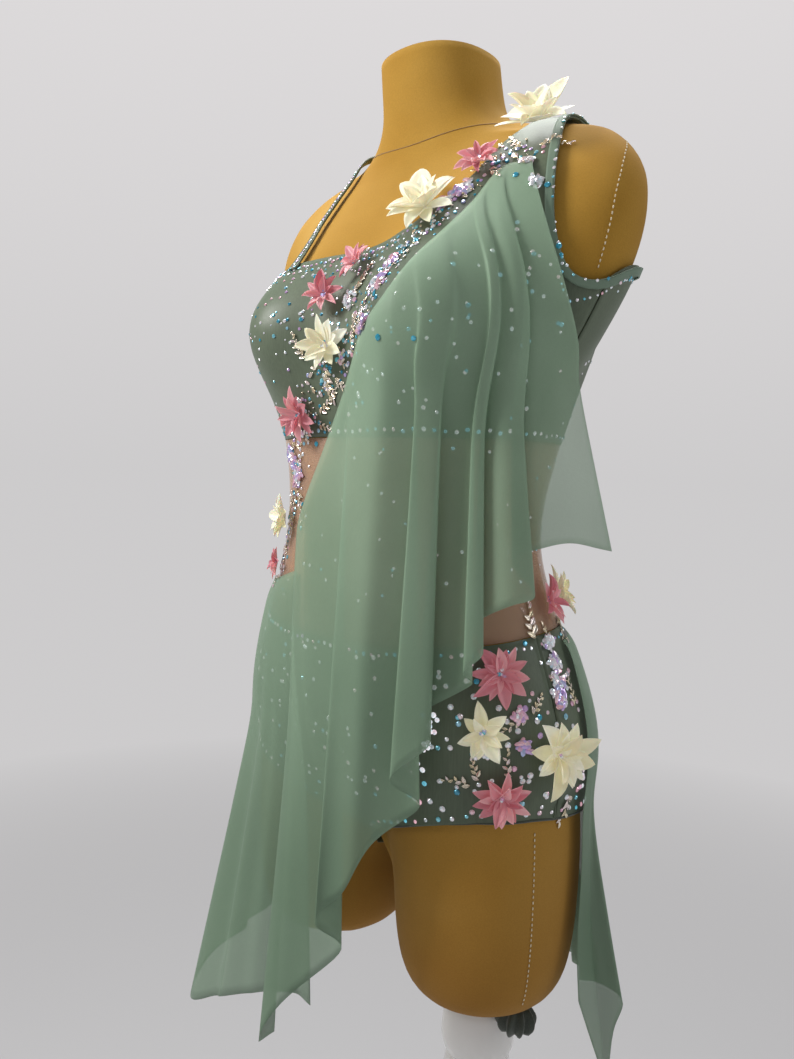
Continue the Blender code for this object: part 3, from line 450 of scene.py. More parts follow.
formCover = smoothCopy("dress_form", "formCover", canvasFinish, 2)
formTree = surfaceTree([formCover])
fitted = {}
for nodeName, slot, finish in (
    ("bodice_front", "sage_stretch", jerseyFinish), ("bodice_back", "sage_stretch", jerseyFinish),
    ("midriff_front", "skin_mesh", nudeFinish), ("midriff_back", "skin_mesh", nudeFinish),
    ("brief_front", "sage_stretch", jerseyFinish), ("brief_back", "sage_stretch", jerseyFinish),
    ("brief_gusset", "sage_stretch", jerseyFinish), ("strap_right", "sage_stretch", jerseyFinish),
    ("armhole_binding", "mint_binding", bindingFinish),
):
    parts = nodeName.split("_")
    fitted[nodeName] = smoothCopy(nodeName, parts[0] + parts[1].capitalize(), finish, 2)
dressedTree = surfaceTree([formCover] + list(fitted.values()))
print("form and fitted panels smoothed")


# places on the dressed form

axisLine = [  # height, depth of the body's middle
    (-30, 0.6), (-14, 0.3), (0, 0.0), (12, 1.0), (18, 1.8), (24, 2.6), (31, 3.8), (36, 4.0), (43, 2.7),
]
outsideReach = 0.45  # further out than any cloth


def rayAround(angle, height):
    # the body's middle at a height, and the way out at an angle
    turn = math.radians(angle)
    middle = Vector(fromWaist((0.0, lineHeight(axisLine, height), height)))
    return middle, Vector((math.cos(turn), math.sin(turn), 0.0))


def aroundBody(angle, height, tree):
    # the outermost surface at an angle round the body and a height from the waist
    middle, out = rayAround(angle, height)
    return tree.ray_cast(middle + out * outsideReach, -out)[:2]


def onCloth(place, lift, tree):
    # the outermost cloth over a place given in centimetres
    near, outward = formTree.find_nearest(Vector(fromWaist(place)))[:2]
    hit, normal = tree.ray_cast(near + outward * 0.05, -outward)[:2]
    if hit is None:
        hit, normal = near, outward
    if normal.dot(outward) < 0.4:
        normal = outward
    return hit + normal * lift, normal


# stand

standSizes = {
    "plateRadius": 0.20, "plateThickness": 0.014, "rim": 0.004, "plateSides": 128,
    "postCentre": (0.092, 0.008), "postSides": 72, "postTop": -0.4078, "postBottom": -0.9857,
    "postProfile": [  # drop in shares of 53, radius in centimetres
        (0.0, 2.2), (0.5, 2.7), (1.6, 3.1), (3.6, 3.3), (4.8, 3.0), (5.2, 2.6), (5.8, 2.9), (9.0, 3.2),
        (16.0, 2.6),
        (27.0, 2.2), (38.0, 2.5), (46.0, 3.2), (49.0, 3.4), (50.0, 2.8), (51.0, 3.2), (53.0, 4.4),
    ],
}


def makeStand(sizes):
    rows = np.array(sizes["postProfile"])
    fine = np.linspace(0, len(rows) - 1, 140)
    smooth = throughRows(rows, fine)
    top, bottom = sizes["postTop"] + waistHeight, sizes["postBottom"] + waistHeight
    profile = [(radius * 0.01, top - drop / rows[-1, 0] * (top - bottom)) for drop, radius in smooth]
    post = lathe("turnedPost", profile, sizes["postCentre"], sizes["postSides"], enamelFinish)
    radius, thick, rim = sizes["plateRadius"], sizes["plateThickness"], sizes["rim"]
    outline = [(0.03, thick), (0.12, thick)]
    for turn in np.linspace(0, math.pi / 2, 7):
        outline.append((radius - rim + rim * math.sin(turn), thick - rim + rim * math.cos(turn)))
    outline += [(radius, 0.0015), (radius - 0.0012, 0.0)]
    plate = lathe("basePlate", outline, (0.0, 0.0), sizes["plateSides"], enamelFinish)
    for piece, node in ((post, "stand_post"), (plate, "stand_base")):
        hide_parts(node)
        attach(piece, "root")


makeStand(standSizes)
print("stand turned")


# hanging cloth

drapeCut = {
    "garland": [  # x, y, height along the sewn edge
        (13.7, -1.9, 30.6), (11.3, -2.6, 30.2), (10.2, -5.2, 26.8), (9.0, -8.9, 23.2),
        (7.3, -11.6, 19.4), (3.4, -10.8, 16.0),
        (0.4, -9.5, 11.4), (-2.4, -9.1, 6.6), (-4.8, -8.9, 2.4), (-6.4, -8.8, -2.4), (-8.0, -8.9, -7.0),
    ],
    "folds": [  # place along the garland, hem x, y, height, room for layers beneath
        (0.0, 20.0, 2.2, -0.2, 1.2), (0.3, 18.5, -1.4, 0.5, 0.8), (0.55, 16.9, -3.8, 0.0, 0.3),
        (0.75, 15.4, -5.4, -1.0, 0.0),
        (0.95, 17.7, -5.2, -3.4, 1.9), (1.15, 16.6, -6.9, -4.2, 1.7), (1.4, 13.8, -7.9, -6.0, 0.1),
        (1.6, 15.6, -8.7, -7.7, 2.0),
        (1.75, 14.6, -10.1, -9.2, 2.2), (1.9, 14.3, -8.7, -10.4, 1.0), (2.1, 12.0, -9.8, -12.1, 0.3),
        (2.35, 10.3, -10.6, -13.4, 0.0),
        (2.6, 12.9, -11.3, -14.7, 2.0), (3.0, 10.4, -13.3, -17.6, 2.4), (3.3, 11.6, -10.9, -20.0, 0.9),
        (3.8, 8.1, -12.6, -23.6, 0.8),
        (4.4, 6.2, -13.8, -27.9, 1.4), (5.2, 4.3, -15.2, -30.5, 2.3), (5.7, 5.7, -13.3, -32.9, 0.7),
        (6.6, 0.7, -14.7, -38.6, 1.4),
        (7.6, -2.3, -15.4, -43.4, 2.2), (8.1, -1.2, -14.4, -42.6, 1.2),
    ],
    "creases": [  # place in folds, width in folds, depth cm, from share, to share
        (0.4, 0.5, 0.35, 0.25, 1.0), (2.0, 0.6, -0.30, 0.2, 0.9), (5.2, 0.5, -0.35, 0.1, 0.8),
        (8.6, 0.6, 0.30, 0.15, 0.9),
        (11.0, 0.5, -0.30, 0.1, 0.8), (14.4, 0.5, 0.30, 0.2, 1.0), (15.6, 0.45, -0.35, 0.3, 1.0),
        (16.5, 0.4, 0.40, 0.2, 1.0),
        (18.4, 0.5, 0.35, 0.15, 1.0), (19.3, 0.4, -0.35, 0.3, 1.0), (20.3, 0.4, 0.30, 0.2, 1.0),
    ],
    "across": 8, "down": 58, "turns": 4, "topGap": 0.0058, "restGap": 0.0100, "softness": 0.005,
    "thickness": 0.0004, "least": 0.0070,
}

skirtCut = {
    "top": [(8, -8.4), (30, -8.0), (60, -7.0), (180, -6.0), (215, -5.0), (238, -3.6)],
    "left": [  # angle at the top, hem angle, hem radius, hem height
        (8.0, 4.0, 19.0, -37.8), (9.5, 8.5, 20.4, -43.5), (11.0, 10.5, 20.9, -46.0),
        (13.5, 11.5, 21.2, -41.0),
        (16.5, 12.5, 21.8, -38.2), (20.0, 20.0, 18.6, -38.8), (25.0, 27.0, 17.0, -40.4),
        (31.0, 35.0, 19.2, -41.4),
        (37.0, 41.0, 16.6, -41.0),
    ],
    "right": [
        (196.0, 203.0, 16.6, -42.0), (202.0, 211.0, 19.6, -44.0), (209.0, 222.0, 20.4, -46.2),
        (216.0, 231.0, 17.6, -44.2),
        (222.0, 237.0, 17.2, -43.2), (227.0, 244.0, 15.0, -42.0), (232.0, 251.0, 13.4, -41.2),
        (236.0, 260.0, 11.6, -41.0), (241.5, 267.0, 10.9, -41.6),
    ],
    "creases": [
        (1.5, 0.4, 0.25, 0.3, 1.0), (5.4, 0.5, -0.3, 0.3, 1.0), (9.5, 0.5, 0.3, 0.4, 1.0),
        (12.5, 0.4, 0.25, 0.3, 1.0),
        (15.5, 0.5, -0.3, 0.3, 1.0), (19.5, 0.4, 0.3, 0.4, 1.0), (22.5, 0.5, 0.25, 0.3, 1.0),
        (25.5, 0.4, -0.3, 0.3, 1.0),
        (27.4, 0.4, 0.3, 0.2, 1.0), (29.0, 0.35, -0.25, 0.2, 1.0),
    ],
    "backFolds": 7, "ridge": 20.2, "valley": 16.4, "backHem": -42.4,
    "across": 7, "down": 46, "turns": 3, "topGap": 0.0060, "restGap": 0.0100, "softness": 0.005,
    "thickness": 0.0004, "least": 0.0070, "lastRoom": -0.0032,  # the last gore passes under the drape
}
thighColumn = waistHeight - 0.34  # below this the thighs count as upright columns


def offForm(points):
    # distance from the form, negative inside, and the way out
    gaps, outs = np.zeros(len(points)), np.zeros((len(points), 3))
    for number, point in enumerate(points):
        beside = Vector((point[0], point[1], max(point[2], thighColumn)))
        near, normal, _, gap = formTree.find_nearest(beside)
        away = beside - near
        inside = away.dot(normal) < 0
        gaps[number] = -gap if inside else gap
        outs[number] = normal if gap < 0.0005 else (-away if inside else away).normalized()
    return gaps, outs


def hangCloth(tops, hems, rooms, cut):
    share = (np.linspace(0, 1, cut["down"] + 1) ** 1.2)[:, None]
    grid = tops[None] + (hems - tops)[None] * share[..., None]
    shape = grid.shape
    wanted = (cut["restGap"] + rooms[None] * share).reshape(-1)
    points = grid.reshape(-1, 3)
    slack = offForm(points)[0] - wanted
    soft = cut["softness"]
    level = wanted + (slack + np.sqrt(slack**2 + soft**2)) / 2
    free = slack > 4 * soft
    for _ in range(4):
        gaps, outs = offForm(points)
        points = np.where(free[:, None], points, points + outs * (level - gaps)[:, None])
    grid = points.reshape(shape)
    gaps, outs = offForm(grid[0])
    grid[0] = grid[0] + outs * (cut["topGap"] - gaps)[:, None]
    for _ in range(3):  # eases the kinks where the cloth leaves the body
        grid = easeDown(grid)
    return grid, share


def addCreases(grid, share, cut):
    normal = np.cross(np.gradient(grid, axis=0), np.gradient(grid, axis=1))
    normal /= np.maximum(np.linalg.norm(normal, axis=-1), 1e-9)[..., None]
    place = np.arange(grid.shape[1]) / cut["across"]
    lift = np.zeros(grid.shape[:2])
    for middle, width, depth, first, last in cut["creases"]:
        across = np.exp(-((place - middle) / width) ** 2)
        along = np.clip((share[:, 0] - first) / (last - first), 0, 1) ** 0.8
        lift += depth * 0.01 * along[:, None] * across[None]
    return grid + normal * lift[..., None]


def easeDown(grid):
    # each point halfway to its neighbours up and down the cloth
    eased = grid.copy()
    eased[1:-1] = grid[1:-1] * 0.5 + (grid[:-2] + grid[2:]) * 0.25
    return eased


def ironOut(grid, turns):
    # takes the small kinks out of the hang without moving the edges
    for _ in range(turns):
        eased = easeDown(grid)
        level = eased.copy()
        level[1:, 1:-1] = eased[1:, 1:-1] * 0.7 + (eased[1:, :-2] + eased[1:, 2:]) * 0.15
        grid = level
    return grid


def clearForm(grid, least):
    points = grid.reshape(-1, 3)
    for _ in range(2):
        gaps, outs = offForm(points)
        points = points + outs * np.maximum(least - gaps, 0)[:, None]
    return points.reshape(grid.shape)


def lengthsAlong(route):
    return np.concatenate([[0], np.cumsum(np.linalg.norm(np.diff(route, axis=0), axis=1))])


def sheetPiece(name, grid, finish, cut, node):
    # cloth of a grid of points, with the cut's own lengths as its UV map
    rows, columns = grid.shape[:2]
    points = grid.reshape(-1, 3)
    faces = [
        (r * columns + c, r * columns + c + 1, (r + 1) * columns + c + 1, (r + 1) * columns + c)
        for r in range(rows - 1) for c in range(columns - 1)
    ]
    piece = meshPiece(name, points, faces, finish)
    across, down = lengthsAlong(grid[-1]), lengthsAlong(grid[:, columns // 2])
    layer = piece.data.uv_layers.new(name="cut")
    for loop in piece.data.loops:
        row, column = divmod(loop.vertex_index, columns)
        layer.data[loop.index].uv = (across[column], down[row])
    rim = piece.data.attributes.new("rim", "FLOAT", "POINT")
    for row in range(rows):
        for column in range(columns):
            edge = min(rows - 1 - row, column, columns - 1 - column)
            rim.data[row * columns + column].value = 1.0 if edge == 0 else 0.0
    thicken(piece, cut["thickness"])
    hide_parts(node)
    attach(piece, "root")
    print(name, "hung, area", round(sum(face.area for face in piece.data.polygons) / 2, 4))
    return piece


def makeDrape(cut):
    last = len(cut["folds"]) - 1
    numbers = np.linspace(0, last, last * cut["across"] + 1)
    folds = throughRows(cut["folds"], numbers)
    tops = fromWaist(throughRows(cut["garland"], folds[:, 0]))
    grid, share = hangCloth(tops, fromWaist(folds[:, 1:4]), folds[:, 4] * 0.01, cut)
    grid = ironOut(clearForm(addCreases(grid, share, cut), cut["least"]), cut["turns"])
    return sheetPiece("frontDrape", grid, drapeFinish, cut, "front_drape")


def skirtRows(cut):
    rows = list(cut["left"])
    first, last = cut["left"][-1], cut["right"][0]
    steps = 2 * cut["backFolds"]
    for step in range(1, steps):
        share = step / steps
        top = first[0] + (last[0] - first[0]) * share
        hem = first[1] + (last[1] - first[1]) * share + 1.5 * math.sin(2.3 * step)
        ridge = step % 2 == 1
        radius = (cut["ridge"] if ridge else cut["valley"]) + 0.7 * math.sin(1.7 * step)
        height = cut["backHem"] - (1.6 if ridge else 0.2) + 0.8 * math.cos(1.1 * step)
        rows.append((top, hem, radius, height))
    return rows + cut["right"]


def makeSkirt(cut):
    table = skirtRows(cut)
    numbers = np.linspace(0, len(table) - 1, (len(table) - 1) * cut["across"] + 1)
    topAngle, hemAngle, radius, height = throughRows(table, numbers).T
    tops = []
    for angle in topAngle:
        tops.append(formTree.ray_cast(*rayAround(angle, lineHeight(cut["top"], angle)))[0])
    turn = np.radians(hemAngle)
    hems = fromWaist(np.stack([radius * np.cos(turn), radius * np.sin(turn), height], axis=-1))
    rooms = np.where(numbers > len(table) - 2, cut["lastRoom"], 0.0)
    grid, share = hangCloth(np.array(tops), hems, rooms, cut)
    grid = ironOut(clearForm(addCreases(grid, share, cut), cut["least"]), cut["turns"])
    return sheetPiece("backSkirt", grid, drapeFinish, cut, "back_skirt")


frontDrape = makeDrape(drapeCut)
backSkirt = makeSkirt(skirtCut)
hungTree = surfaceTree([formCover, frontDrape, backSkirt] + list(fitted.values()))


# one tree sets stones, petals, sequins and stitches on points

def plantingTree():
    tree = bpy.data.node_groups.new("plantOnPoints", "GeometryNodeTree")
    face = tree.interface
    face.new_socket("Geometry", in_out="INPUT", socket_type="NodeSocketGeometry")
    sockets = {
        "shape": face.new_socket("Shape", in_out="INPUT", socket_type="NodeSocketObject"),
        "size": face.new_socket("Overall size", in_out="INPUT", socket_type="NodeSocketFloat"),
        "finish": face.new_socket("Finish", in_out="INPUT", socket_type="NodeSocketMaterial"),
    }
    face.new_socket("Geometry", in_out="OUTPUT", socket_type="NodeSocketGeometry")
    add, link = tree.nodes.new, tree.links.new
    given, result = add("NodeGroupInput"), add("NodeGroupOutput")
    points, plant = add("GeometryNodeMeshToPoints"), add("GeometryNodeInstanceOnPoints")
    shape, realize = add("GeometryNodeObjectInfo"), add("GeometryNodeRealizeInstances")
    setFinish = add("GeometryNodeSetMaterial")
    faceOut, turnAlong = (add("FunctionNodeAlignRotationToVector") for _ in range(2))
    faceOut.axis, turnAlong.axis, turnAlong.pivot_axis = "Z", "X", "Z"
    attributes = {}
    for name in ("facing", "along", "stretch"):
        attributes[name] = add("GeometryNodeInputNamedAttribute")
        attributes[name].data_type = "FLOAT_VECTOR"
        attributes[name].inputs["Name"].default_value = name
    scaled = add("ShaderNodeVectorMath")
    scaled.operation = "SCALE"
    link(given.outputs["Geometry"], points.inputs["Mesh"])
    link(points.outputs["Points"], plant.inputs["Points"])
    link(given.outputs["Shape"], shape.inputs["Object"])
    link(shape.outputs["Geometry"], plant.inputs["Instance"])
    link(attributes["facing"].outputs[0], faceOut.inputs["Vector"])
    link(faceOut.outputs[0], turnAlong.inputs["Rotation"])
    link(attributes["along"].outputs[0], turnAlong.inputs["Vector"])
    link(turnAlong.outputs[0], plant.inputs["Rotation"])
    link(attributes["stretch"].outputs[0], scaled.inputs[0])
    link(given.outputs["Overall size"], scaled.inputs["Scale"])
    link(scaled.outputs[0], plant.inputs["Scale"])
    link(plant.outputs["Instances"], realize.inputs["Geometry"])
    link(realize.outputs["Geometry"], setFinish.inputs["Geometry"])
    link(given.outputs["Finish"], setFinish.inputs["Material"])
    link(setFinish.outputs["Geometry"], result.inputs["Geometry"])
    return tree, {key: socket.identifier for key, socket in sockets.items()}


plantTree, plantInputs = plantingTree()


def plant(name, items, shape, finish, slot=None, instead=()):
    # items: place, facing, along, stretch, tone
    mesh = bpy.data.meshes.new(name)
    mesh.from_pydata([tuple(item[0]) for item in items], [], [])
    for key, column in (("facing", 1), ("along", 2), ("stretch", 3)):
        layer = mesh.attributes.new(key, "FLOAT_VECTOR", "POINT")
        values = np.array([tuple(item[column]) for item in items], dtype=np.float32)
        layer.data.foreach_set("vector", values.ravel())
    tone = mesh.attributes.new("tone", "FLOAT", "POINT")
    tone.data.foreach_set("value", np.array([item[4] for item in items], dtype=np.float32))
    piece = bpy.data.objects.new(name, mesh)
    bpy.context.scene.collection.objects.link(piece)
    planting = piece.modifiers.new("planting", "NODES")
    planting.node_group = plantTree
    planting[plantInputs["shape"]] = shape
    planting[plantInputs["size"]] = 1.0
    planting[plantInputs["finish"]] = finish
    settle(piece)
    if instead:
        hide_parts(*instead)
    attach(piece, "root")
    print(name, len(items), "set,", len(piece.data.polygons), "faces")
    return piece


def crossOf(normal):
    # two directions along a surface: up the cloth, and to its side
    up = Vector((0, 0, 1)) - normal * normal.z
    if up.length < 0.2:
        up = Vector((0, 1, 0)) - normal * normal.y
    up.normalize()
    return up, up.cross(normal)


# shapes that are planted

def makeStone():
    # flat-backed stone: girdle, sloped facets and a table
    points, faces = [], []
    for radius, height, turn in ((0.88, 0.0, 0.0), (1.0, 0.22, 0.0), (0.52, 0.62, 0.5)):
        for step in range(8):
            angle = 2 * math.pi * (step + turn) / 8
            points.append((radius * math.cos(angle), radius * math.sin(angle), height))
    for step in range(8):
        after = (step + 1) % 8
        faces.append((step, after, 8 + after, 8 + step))
        faces.append((8 + step, 8 + after, 16 + step))
        faces.append((8 + after, 16 + after, 16 + step))
    faces.append(tuple(reversed(range(8))))
    faces.append(tuple(range(16, 24)))
    return meshPiece("stoneShape", points, faces, crystalFinish, smooth=False)


def makeBead():
    work = bmesh.new()
    bmesh.ops.create_icosphere(work, subdivisions=2, radius=1.0)
    bmesh.ops.translate(work, verts=work.verts, vec=(0, 0, 0.8))
    mesh = bpy.data.meshes.new("beadShape")
    work.to_mesh(mesh)
    work.free()
    mesh.materials.append(giltFinish)
    mesh.shade_smooth()
    piece = bpy.data.objects.new("beadShape", mesh)
    bpy.context.scene.collection.objects.link(piece)
    return piece


def makePetalShape(name, width, cup, crease, finish):
    # a pointed petal one unit long along X, cupped and creased down the middle
    rows, half = 9, 3
    points, faces = [], []
    for row in range(rows + 1):
        share = row / rows
        bulge = math.sin(math.pi * (share * 0.94 + 0.06) ** 0.85) ** 0.8 if share < 1 else 0.0
        reach = width * bulge
        rise = cup * share**1.6 - 0.10 * share**4
        for step in range(-half, half + 1):
            side = step / half
            points.append((share, side * max(reach, 0.004), rise + crease * abs(side) ** 1.3 * reach))
    wide = 2 * half + 1
    for row in range(rows):
        for step in range(2 * half):
            a = row * wide + step
            faces.append((a, a + wide, a + wide + 1, a + 1))
    piece = meshPiece(name, points, faces, finish)
    return thicken(piece, 0.011)


stoneShape = makeStone()
beadShape = makeBead()
creamPetal = makePetalShape("creamPetalShape", 0.25, 0.20, 0.5, creamFinish)
pinkPetal = makePetalShape("pinkPetalShape", 0.215, 0.16, 0.7, pinkFinish)
leafShape = makePetalShape("leafShape", 0.26, 0.06, 0.5, giltFinish)
print("planting shapes made")


# flowers

flowerRows = {  # node that carries it, radius cm, petals, lift of the inner ring
    "cream": [
        ("flower_cream_01", 3.4, 9, 0.9), ("flower_cream_03", 3.4, 8, 0.6),
        ("flower_cream_06", 2.5, 8, 0.5), ("flower_cream_08", 2.5, 8, 0.7),
        ("flower_cream_11", 2.2, 6, 0.2), ("flower_cream_12", 3.2, 9, 0.5),
        ("flower_cream_15", 2.4, 8, 0.8),
    ],
    "pink": [
        ("flower_pink_02", 2.1, 8, 0.6), ("flower_pink_04", 1.9, 6, 0.5),
        ("flower_pink_05", 1.9, 7, 0.5), ("flower_pink_07", 2.4, 9, 0.4),
        ("flower_pink_09", 1.7, 6, 0.6), ("flower_pink_10", 2.6, 9, 0.3),
        ("flower_pink_13", 2.5, 9, 0.5), ("flower_pink_14", 2.0, 7, 0.8),
    ],
}
heartTones = [0.1, 0.35, 0.55, 0.62, 0.66, 0.8]
hearts = []


def flowerPetals(rows, seed):
    pick = random.Random(seed)
    items = []
    for node, radius, count, lift in rows:
        low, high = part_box(node)
        middle = (Vector(low) + Vector(high)) / 2
        seat, normal = onCloth((np.array(middle) - (0.0, 0.0, waistHeight)) * 100, 0.003, hungTree)
        raised = (middle - seat).dot(normal) - 0.003 * radius
        seat = seat + normal * min(max(raised, 0.0), 0.006)
        up, side = crossOf(normal)
        start = pick.uniform(0, 6.28)
        rings = [(count + 1, 1.0, 0.16, 0.0), (max(count - 1, 5), 0.80, 0.36 + 0.22 * lift, 0.45)]
        if radius > 3.0:
            rings.append((4, 0.5, 0.95, 0.2))
        for number, reach, tilt, turn in rings:
            for step in range(number):
                angle = start + 2 * math.pi * (step + turn + pick.uniform(-0.16, 0.16)) / number
                lean = tilt + pick.uniform(-0.20, 0.24)
                out = up * math.cos(angle) + side * math.sin(angle)
                along = (out * math.cos(lean) + normal * math.sin(lean)).normalized()
                facing = (normal * math.cos(lean) - out * math.sin(lean)).normalized()
                facing = (facing + along.cross(facing) * pick.uniform(-0.22, 0.22)).normalized()
                length = radius * 0.01 * reach * pick.uniform(0.80, 1.16)
                base = seat + normal * (0.001 + 0.0015 * reach) + out * 0.0012
                size = (length, length * pick.uniform(0.78, 1.15), length * pick.uniform(0.3, 1.7))
                items.append((base, facing, along, size, pick.random()))
        for step in range(pick.randint(6, 9)):
            angle = pick.uniform(0, 6.28)
            out = up * math.cos(angle) + side * math.sin(angle)
            spot = seat + out * pick.uniform(0, 0.0042) + normal * 0.0042
            big = pick.uniform(0.0011, 0.0020)
            hearts.append((spot, normal, up, (big, big, big), pick.choice(heartTones)))
    return items


for kind, shape, finish, seed in (
    ("cream", creamPetal, creamFinish, 5), ("pink", pinkPetal, pinkFinish, 9),
):
    petals = flowerPetals(flowerRows[kind], seed)
    carriers = [row[0] for row in flowerRows[kind]]
    plant(kind + "Flowers", petals, shape, finish, slot=kind, instead=carriers)


# stones along edges

neckFront = [
    (-180, 20.9), (-165, 20.9), (-148, 22.0), (-128, 24.1), (-108, 24.5), (-88, 24.5), (-72, 24.8),
    (-58, 26.0), (-46, 28.2),
    (-17, 25.0), (-15, 22.4), (-11, 20.5), (-5, 21.2),
]
neckBack = [
    (-5, 21.2), (0, 22.6), (8, 23.0), (16, 23.0), (21, 23.8), (26, 25.6), (52, 28.0), (66, 26.0),
    (84, 24.6), (104, 24.2),
    (126, 24.2), (150, 22.6), (166, 21.2), (180, 20.9),
]
briefTop = [
    (-180, -7.4), (-150, -8.0), (-120, -8.6), (-90, -8.8), (-60, -8.8), (-30, -8.2), (-5, -7.5),
    (60, -6.6), (180, -7.4),
]
legLine = [
    (-82, -27.0), (-70, -25.9), (-53, -24.5), (-43, -23.3), (-35, -22.5), (-26, -22.0), (-11, -21.8),
    (5, -22.4), (30, -23.8),
    (56, -24.9), (72, -26.0),
]
strapRoute = [
    (-7.1, -8.8, 23.6), (-7.9, -6.0, 27.0), (-8.2, -4.2, 29.2), (-7.9, -2.6, 31.6), (-7.5, -0.8, 34.2),
    (-7.3, 1.4, 36.0),
    (-7.3, 4.2, 36.6), (-7.4, 7.6, 35.6), (-7.6, 10.4, 32.6), (-7.7, 12.6, 28.8), (-7.8, 13.9, 23.2),
]
armholeRoute = [
    (13.9, 4.2, 35.1), (14.0, 2.6, 34.8), (14.7, 0.8, 33.2), (15.4, -0.9, 30.4), (15.9, -1.9, 27.5),
    (16.6, -2.4, 24.0),
    (17.6, -1.9, 21.4), (19.0, -0.3, 20.9), (20.2, 1.8, 22.0), (20.4, 4.0, 23.2), (19.4, 6.6, 23.6),
    (17.2, 8.9, 25.6),
    (15.6, 9.6, 28.6), (14.7, 8.2, 32.6), (14.1, 6.2, 34.6),
]
toneBag = {
    "clear": [0.0, 0.1, 0.2, 0.3, 0.4, 0.45], "rose": [0.48, 0.5, 0.53, 0.6],
    "lilac": [0.6, 0.62, 0.66], "aqua": [0.72, 0.76, 0.8], "teal": [0.86, 0.9, 0.96],
}


def toneOf(pick, mix):
    kinds, weights = zip(*mix.items())
    return pick.choice(toneBag[pick.choices(kinds, weights)[0]])


stones = []


def anyWay(pick, normal):
    # a direction along the surface, drawn at random
    up, side = crossOf(normal)
    angle = pick.uniform(0, 6.28)
    return up * math.cos(angle) + side * math.sin(angle)


def addStone(pick, spot, normal, big, mix, shape=(1.0, 1.0, 1.0)):
    along = anyWay(pick, normal)
    stones.append((spot, normal, along, tuple(big * share for share in shape), toneOf(pick, mix)))


def stonesRound(pick, line, drop, first, last, spacing, low, high, mix, mirror=False):
    # a row of stones that follows a cutting line round the body, drop cm from it
    angle, before = first, None
    while angle < last:
        seen = 180 - angle if mirror else angle
        height = float(lineHeight(line, angle)) + drop + pick.uniform(-0.12, 0.12)
        spot, normal = aroundBody(seen, height, dressedTree)
        angle += 0.35 if spot else 1.0
        if spot and (before is None or (spot - before).length >= spacing * 0.01):
            before = spot
            addStone(pick, spot, normal, pick.uniform(low, high) * 0.001, mix)


edgeStones = [  # line, drop, first angle, last angle, spacing cm, low and high radius mm, mix
    (
        neckFront, -0.35, -179, -47, 0.42, 1.0, 1.9,
        {"clear": 5, "rose": 2, "lilac": 2, "aqua": 3, "teal": 1},
    ),
    (neckFront, -0.95, -178, -60, 0.60, 0.9, 1.7, {"clear": 5, "rose": 2, "aqua": 3, "teal": 2}),
    (neckFront, -1.7, -176, -70, 1.0, 0.9, 1.9, {"clear": 5, "rose": 2, "aqua": 2, "teal": 2}),
    (neckBack, -0.45, 28, 179, 0.70, 1.1, 1.8, {"clear": 5, "aqua": 2, "teal": 1}),
    (neckFront, -1.3, -16, -5, 0.45, 1.0, 1.7, {"clear": 5, "rose": 1, "aqua": 2}),
    (neckBack, -1.3, -5, 24, 0.45, 1.0, 1.7, {"clear": 5, "rose": 1, "aqua": 2}),
    ([(-180, 9.1), (180, 9.1)], 0.0, -179, 179, 0.85, 1.4, 2.1, {"clear": 6, "aqua": 3, "teal": 1}),
    (briefTop, -0.55, -179, 20, 0.75, 1.4, 2.0, {"clear": 5, "rose": 1, "aqua": 3, "teal": 2}),
    (legLine, 0.60, -78, 66, 1.15, 1.6, 2.3, {"clear": 5, "rose": 1, "aqua": 3}),
]
pickEdge = random.Random(21)
for line, drop, first, last, spacing, low, high, mix in edgeStones:
    stonesRound(pickEdge, line, drop, first, last, spacing, low, high, mix)
stonesRound(pickEdge, legLine, 0.55, -78, 66, 1.2, 1.2, 2.0, {"clear": 5, "aqua": 2}, mirror=True)


def stonesAlong(pick, route, spacing, low, high, mix, spread):
    places = np.linspace(0, len(route) - 1, 40 * len(route))
    fine = throughRows(route, places)
    before = None
    for place in fine:
        spot, normal = onCloth(place, 0.0, dressedTree)
        if before is not None and (spot - before).length < spacing * 0.01:
            continue
        before = spot.copy()
        up, side = crossOf(normal)
        moved = np.array(place) + np.array(side) * pick.uniform(-spread, spread)
        shifted, normal = onCloth(moved, 0.0, dressedTree)
        addStone(pick, shifted, normal, pick.uniform(low, high) * 0.001, mix)


stonesAlong(pickEdge, strapRoute, 0.34, 1.0, 1.5, {"clear": 5, "rose": 2, "lilac": 2, "aqua": 1}, 0.12)
armholeLoop = armholeRoute + armholeRoute[:1]
stonesAlong(pickEdge, armholeLoop, 0.9, 1.0, 1.7, {"clear": 4, "aqua": 2, "teal": 2}, 0.1)
print("edges set,", len(stones), "stones")


# stones scattered over the panels

scatterFields = [  # angles, heights, how many, low and high radius mm, mix
    ((-175, -100), (16.5, 23.8), 130, 0.8, 1.8, {"clear": 5, "rose": 2, "aqua": 2, "teal": 2}),
    ((-175, -96), (9.6, 17.5), 85, 0.8, 1.7, {"clear": 5, "rose": 1, "aqua": 2, "teal": 2}),
    ((-100, -58), (16.0, 24.2), 60, 0.9, 1.8, {"clear": 4, "aqua": 3, "teal": 3}),
    ((-96, -10), (9.8, 26.0), 100, 1.2, 2.1, {"clear": 7, "aqua": 2, "teal": 1}),
    ((-5, 178), (9.6, 21.5), 110, 1.0, 1.8, {"clear": 6, "aqua": 1}),
    ((-178, 178), (-6.0, 8.0), 130, 1.0, 1.7, {"clear": 7, "aqua": 1}),
    ((-50, 8), (-21.2, -9.0), 150, 1.7, 2.8, {"clear": 7, "rose": 2, "aqua": 1}),
    ((-135, -60), (-22.6, -9.6), 70, 1.5, 2.3, {"clear": 6, "aqua": 1}),
    ((-178, -135), (-20.0, -9.6), 26, 1.1, 1.9, {"clear": 6, "aqua": 1}),
]
pickField = random.Random(33)
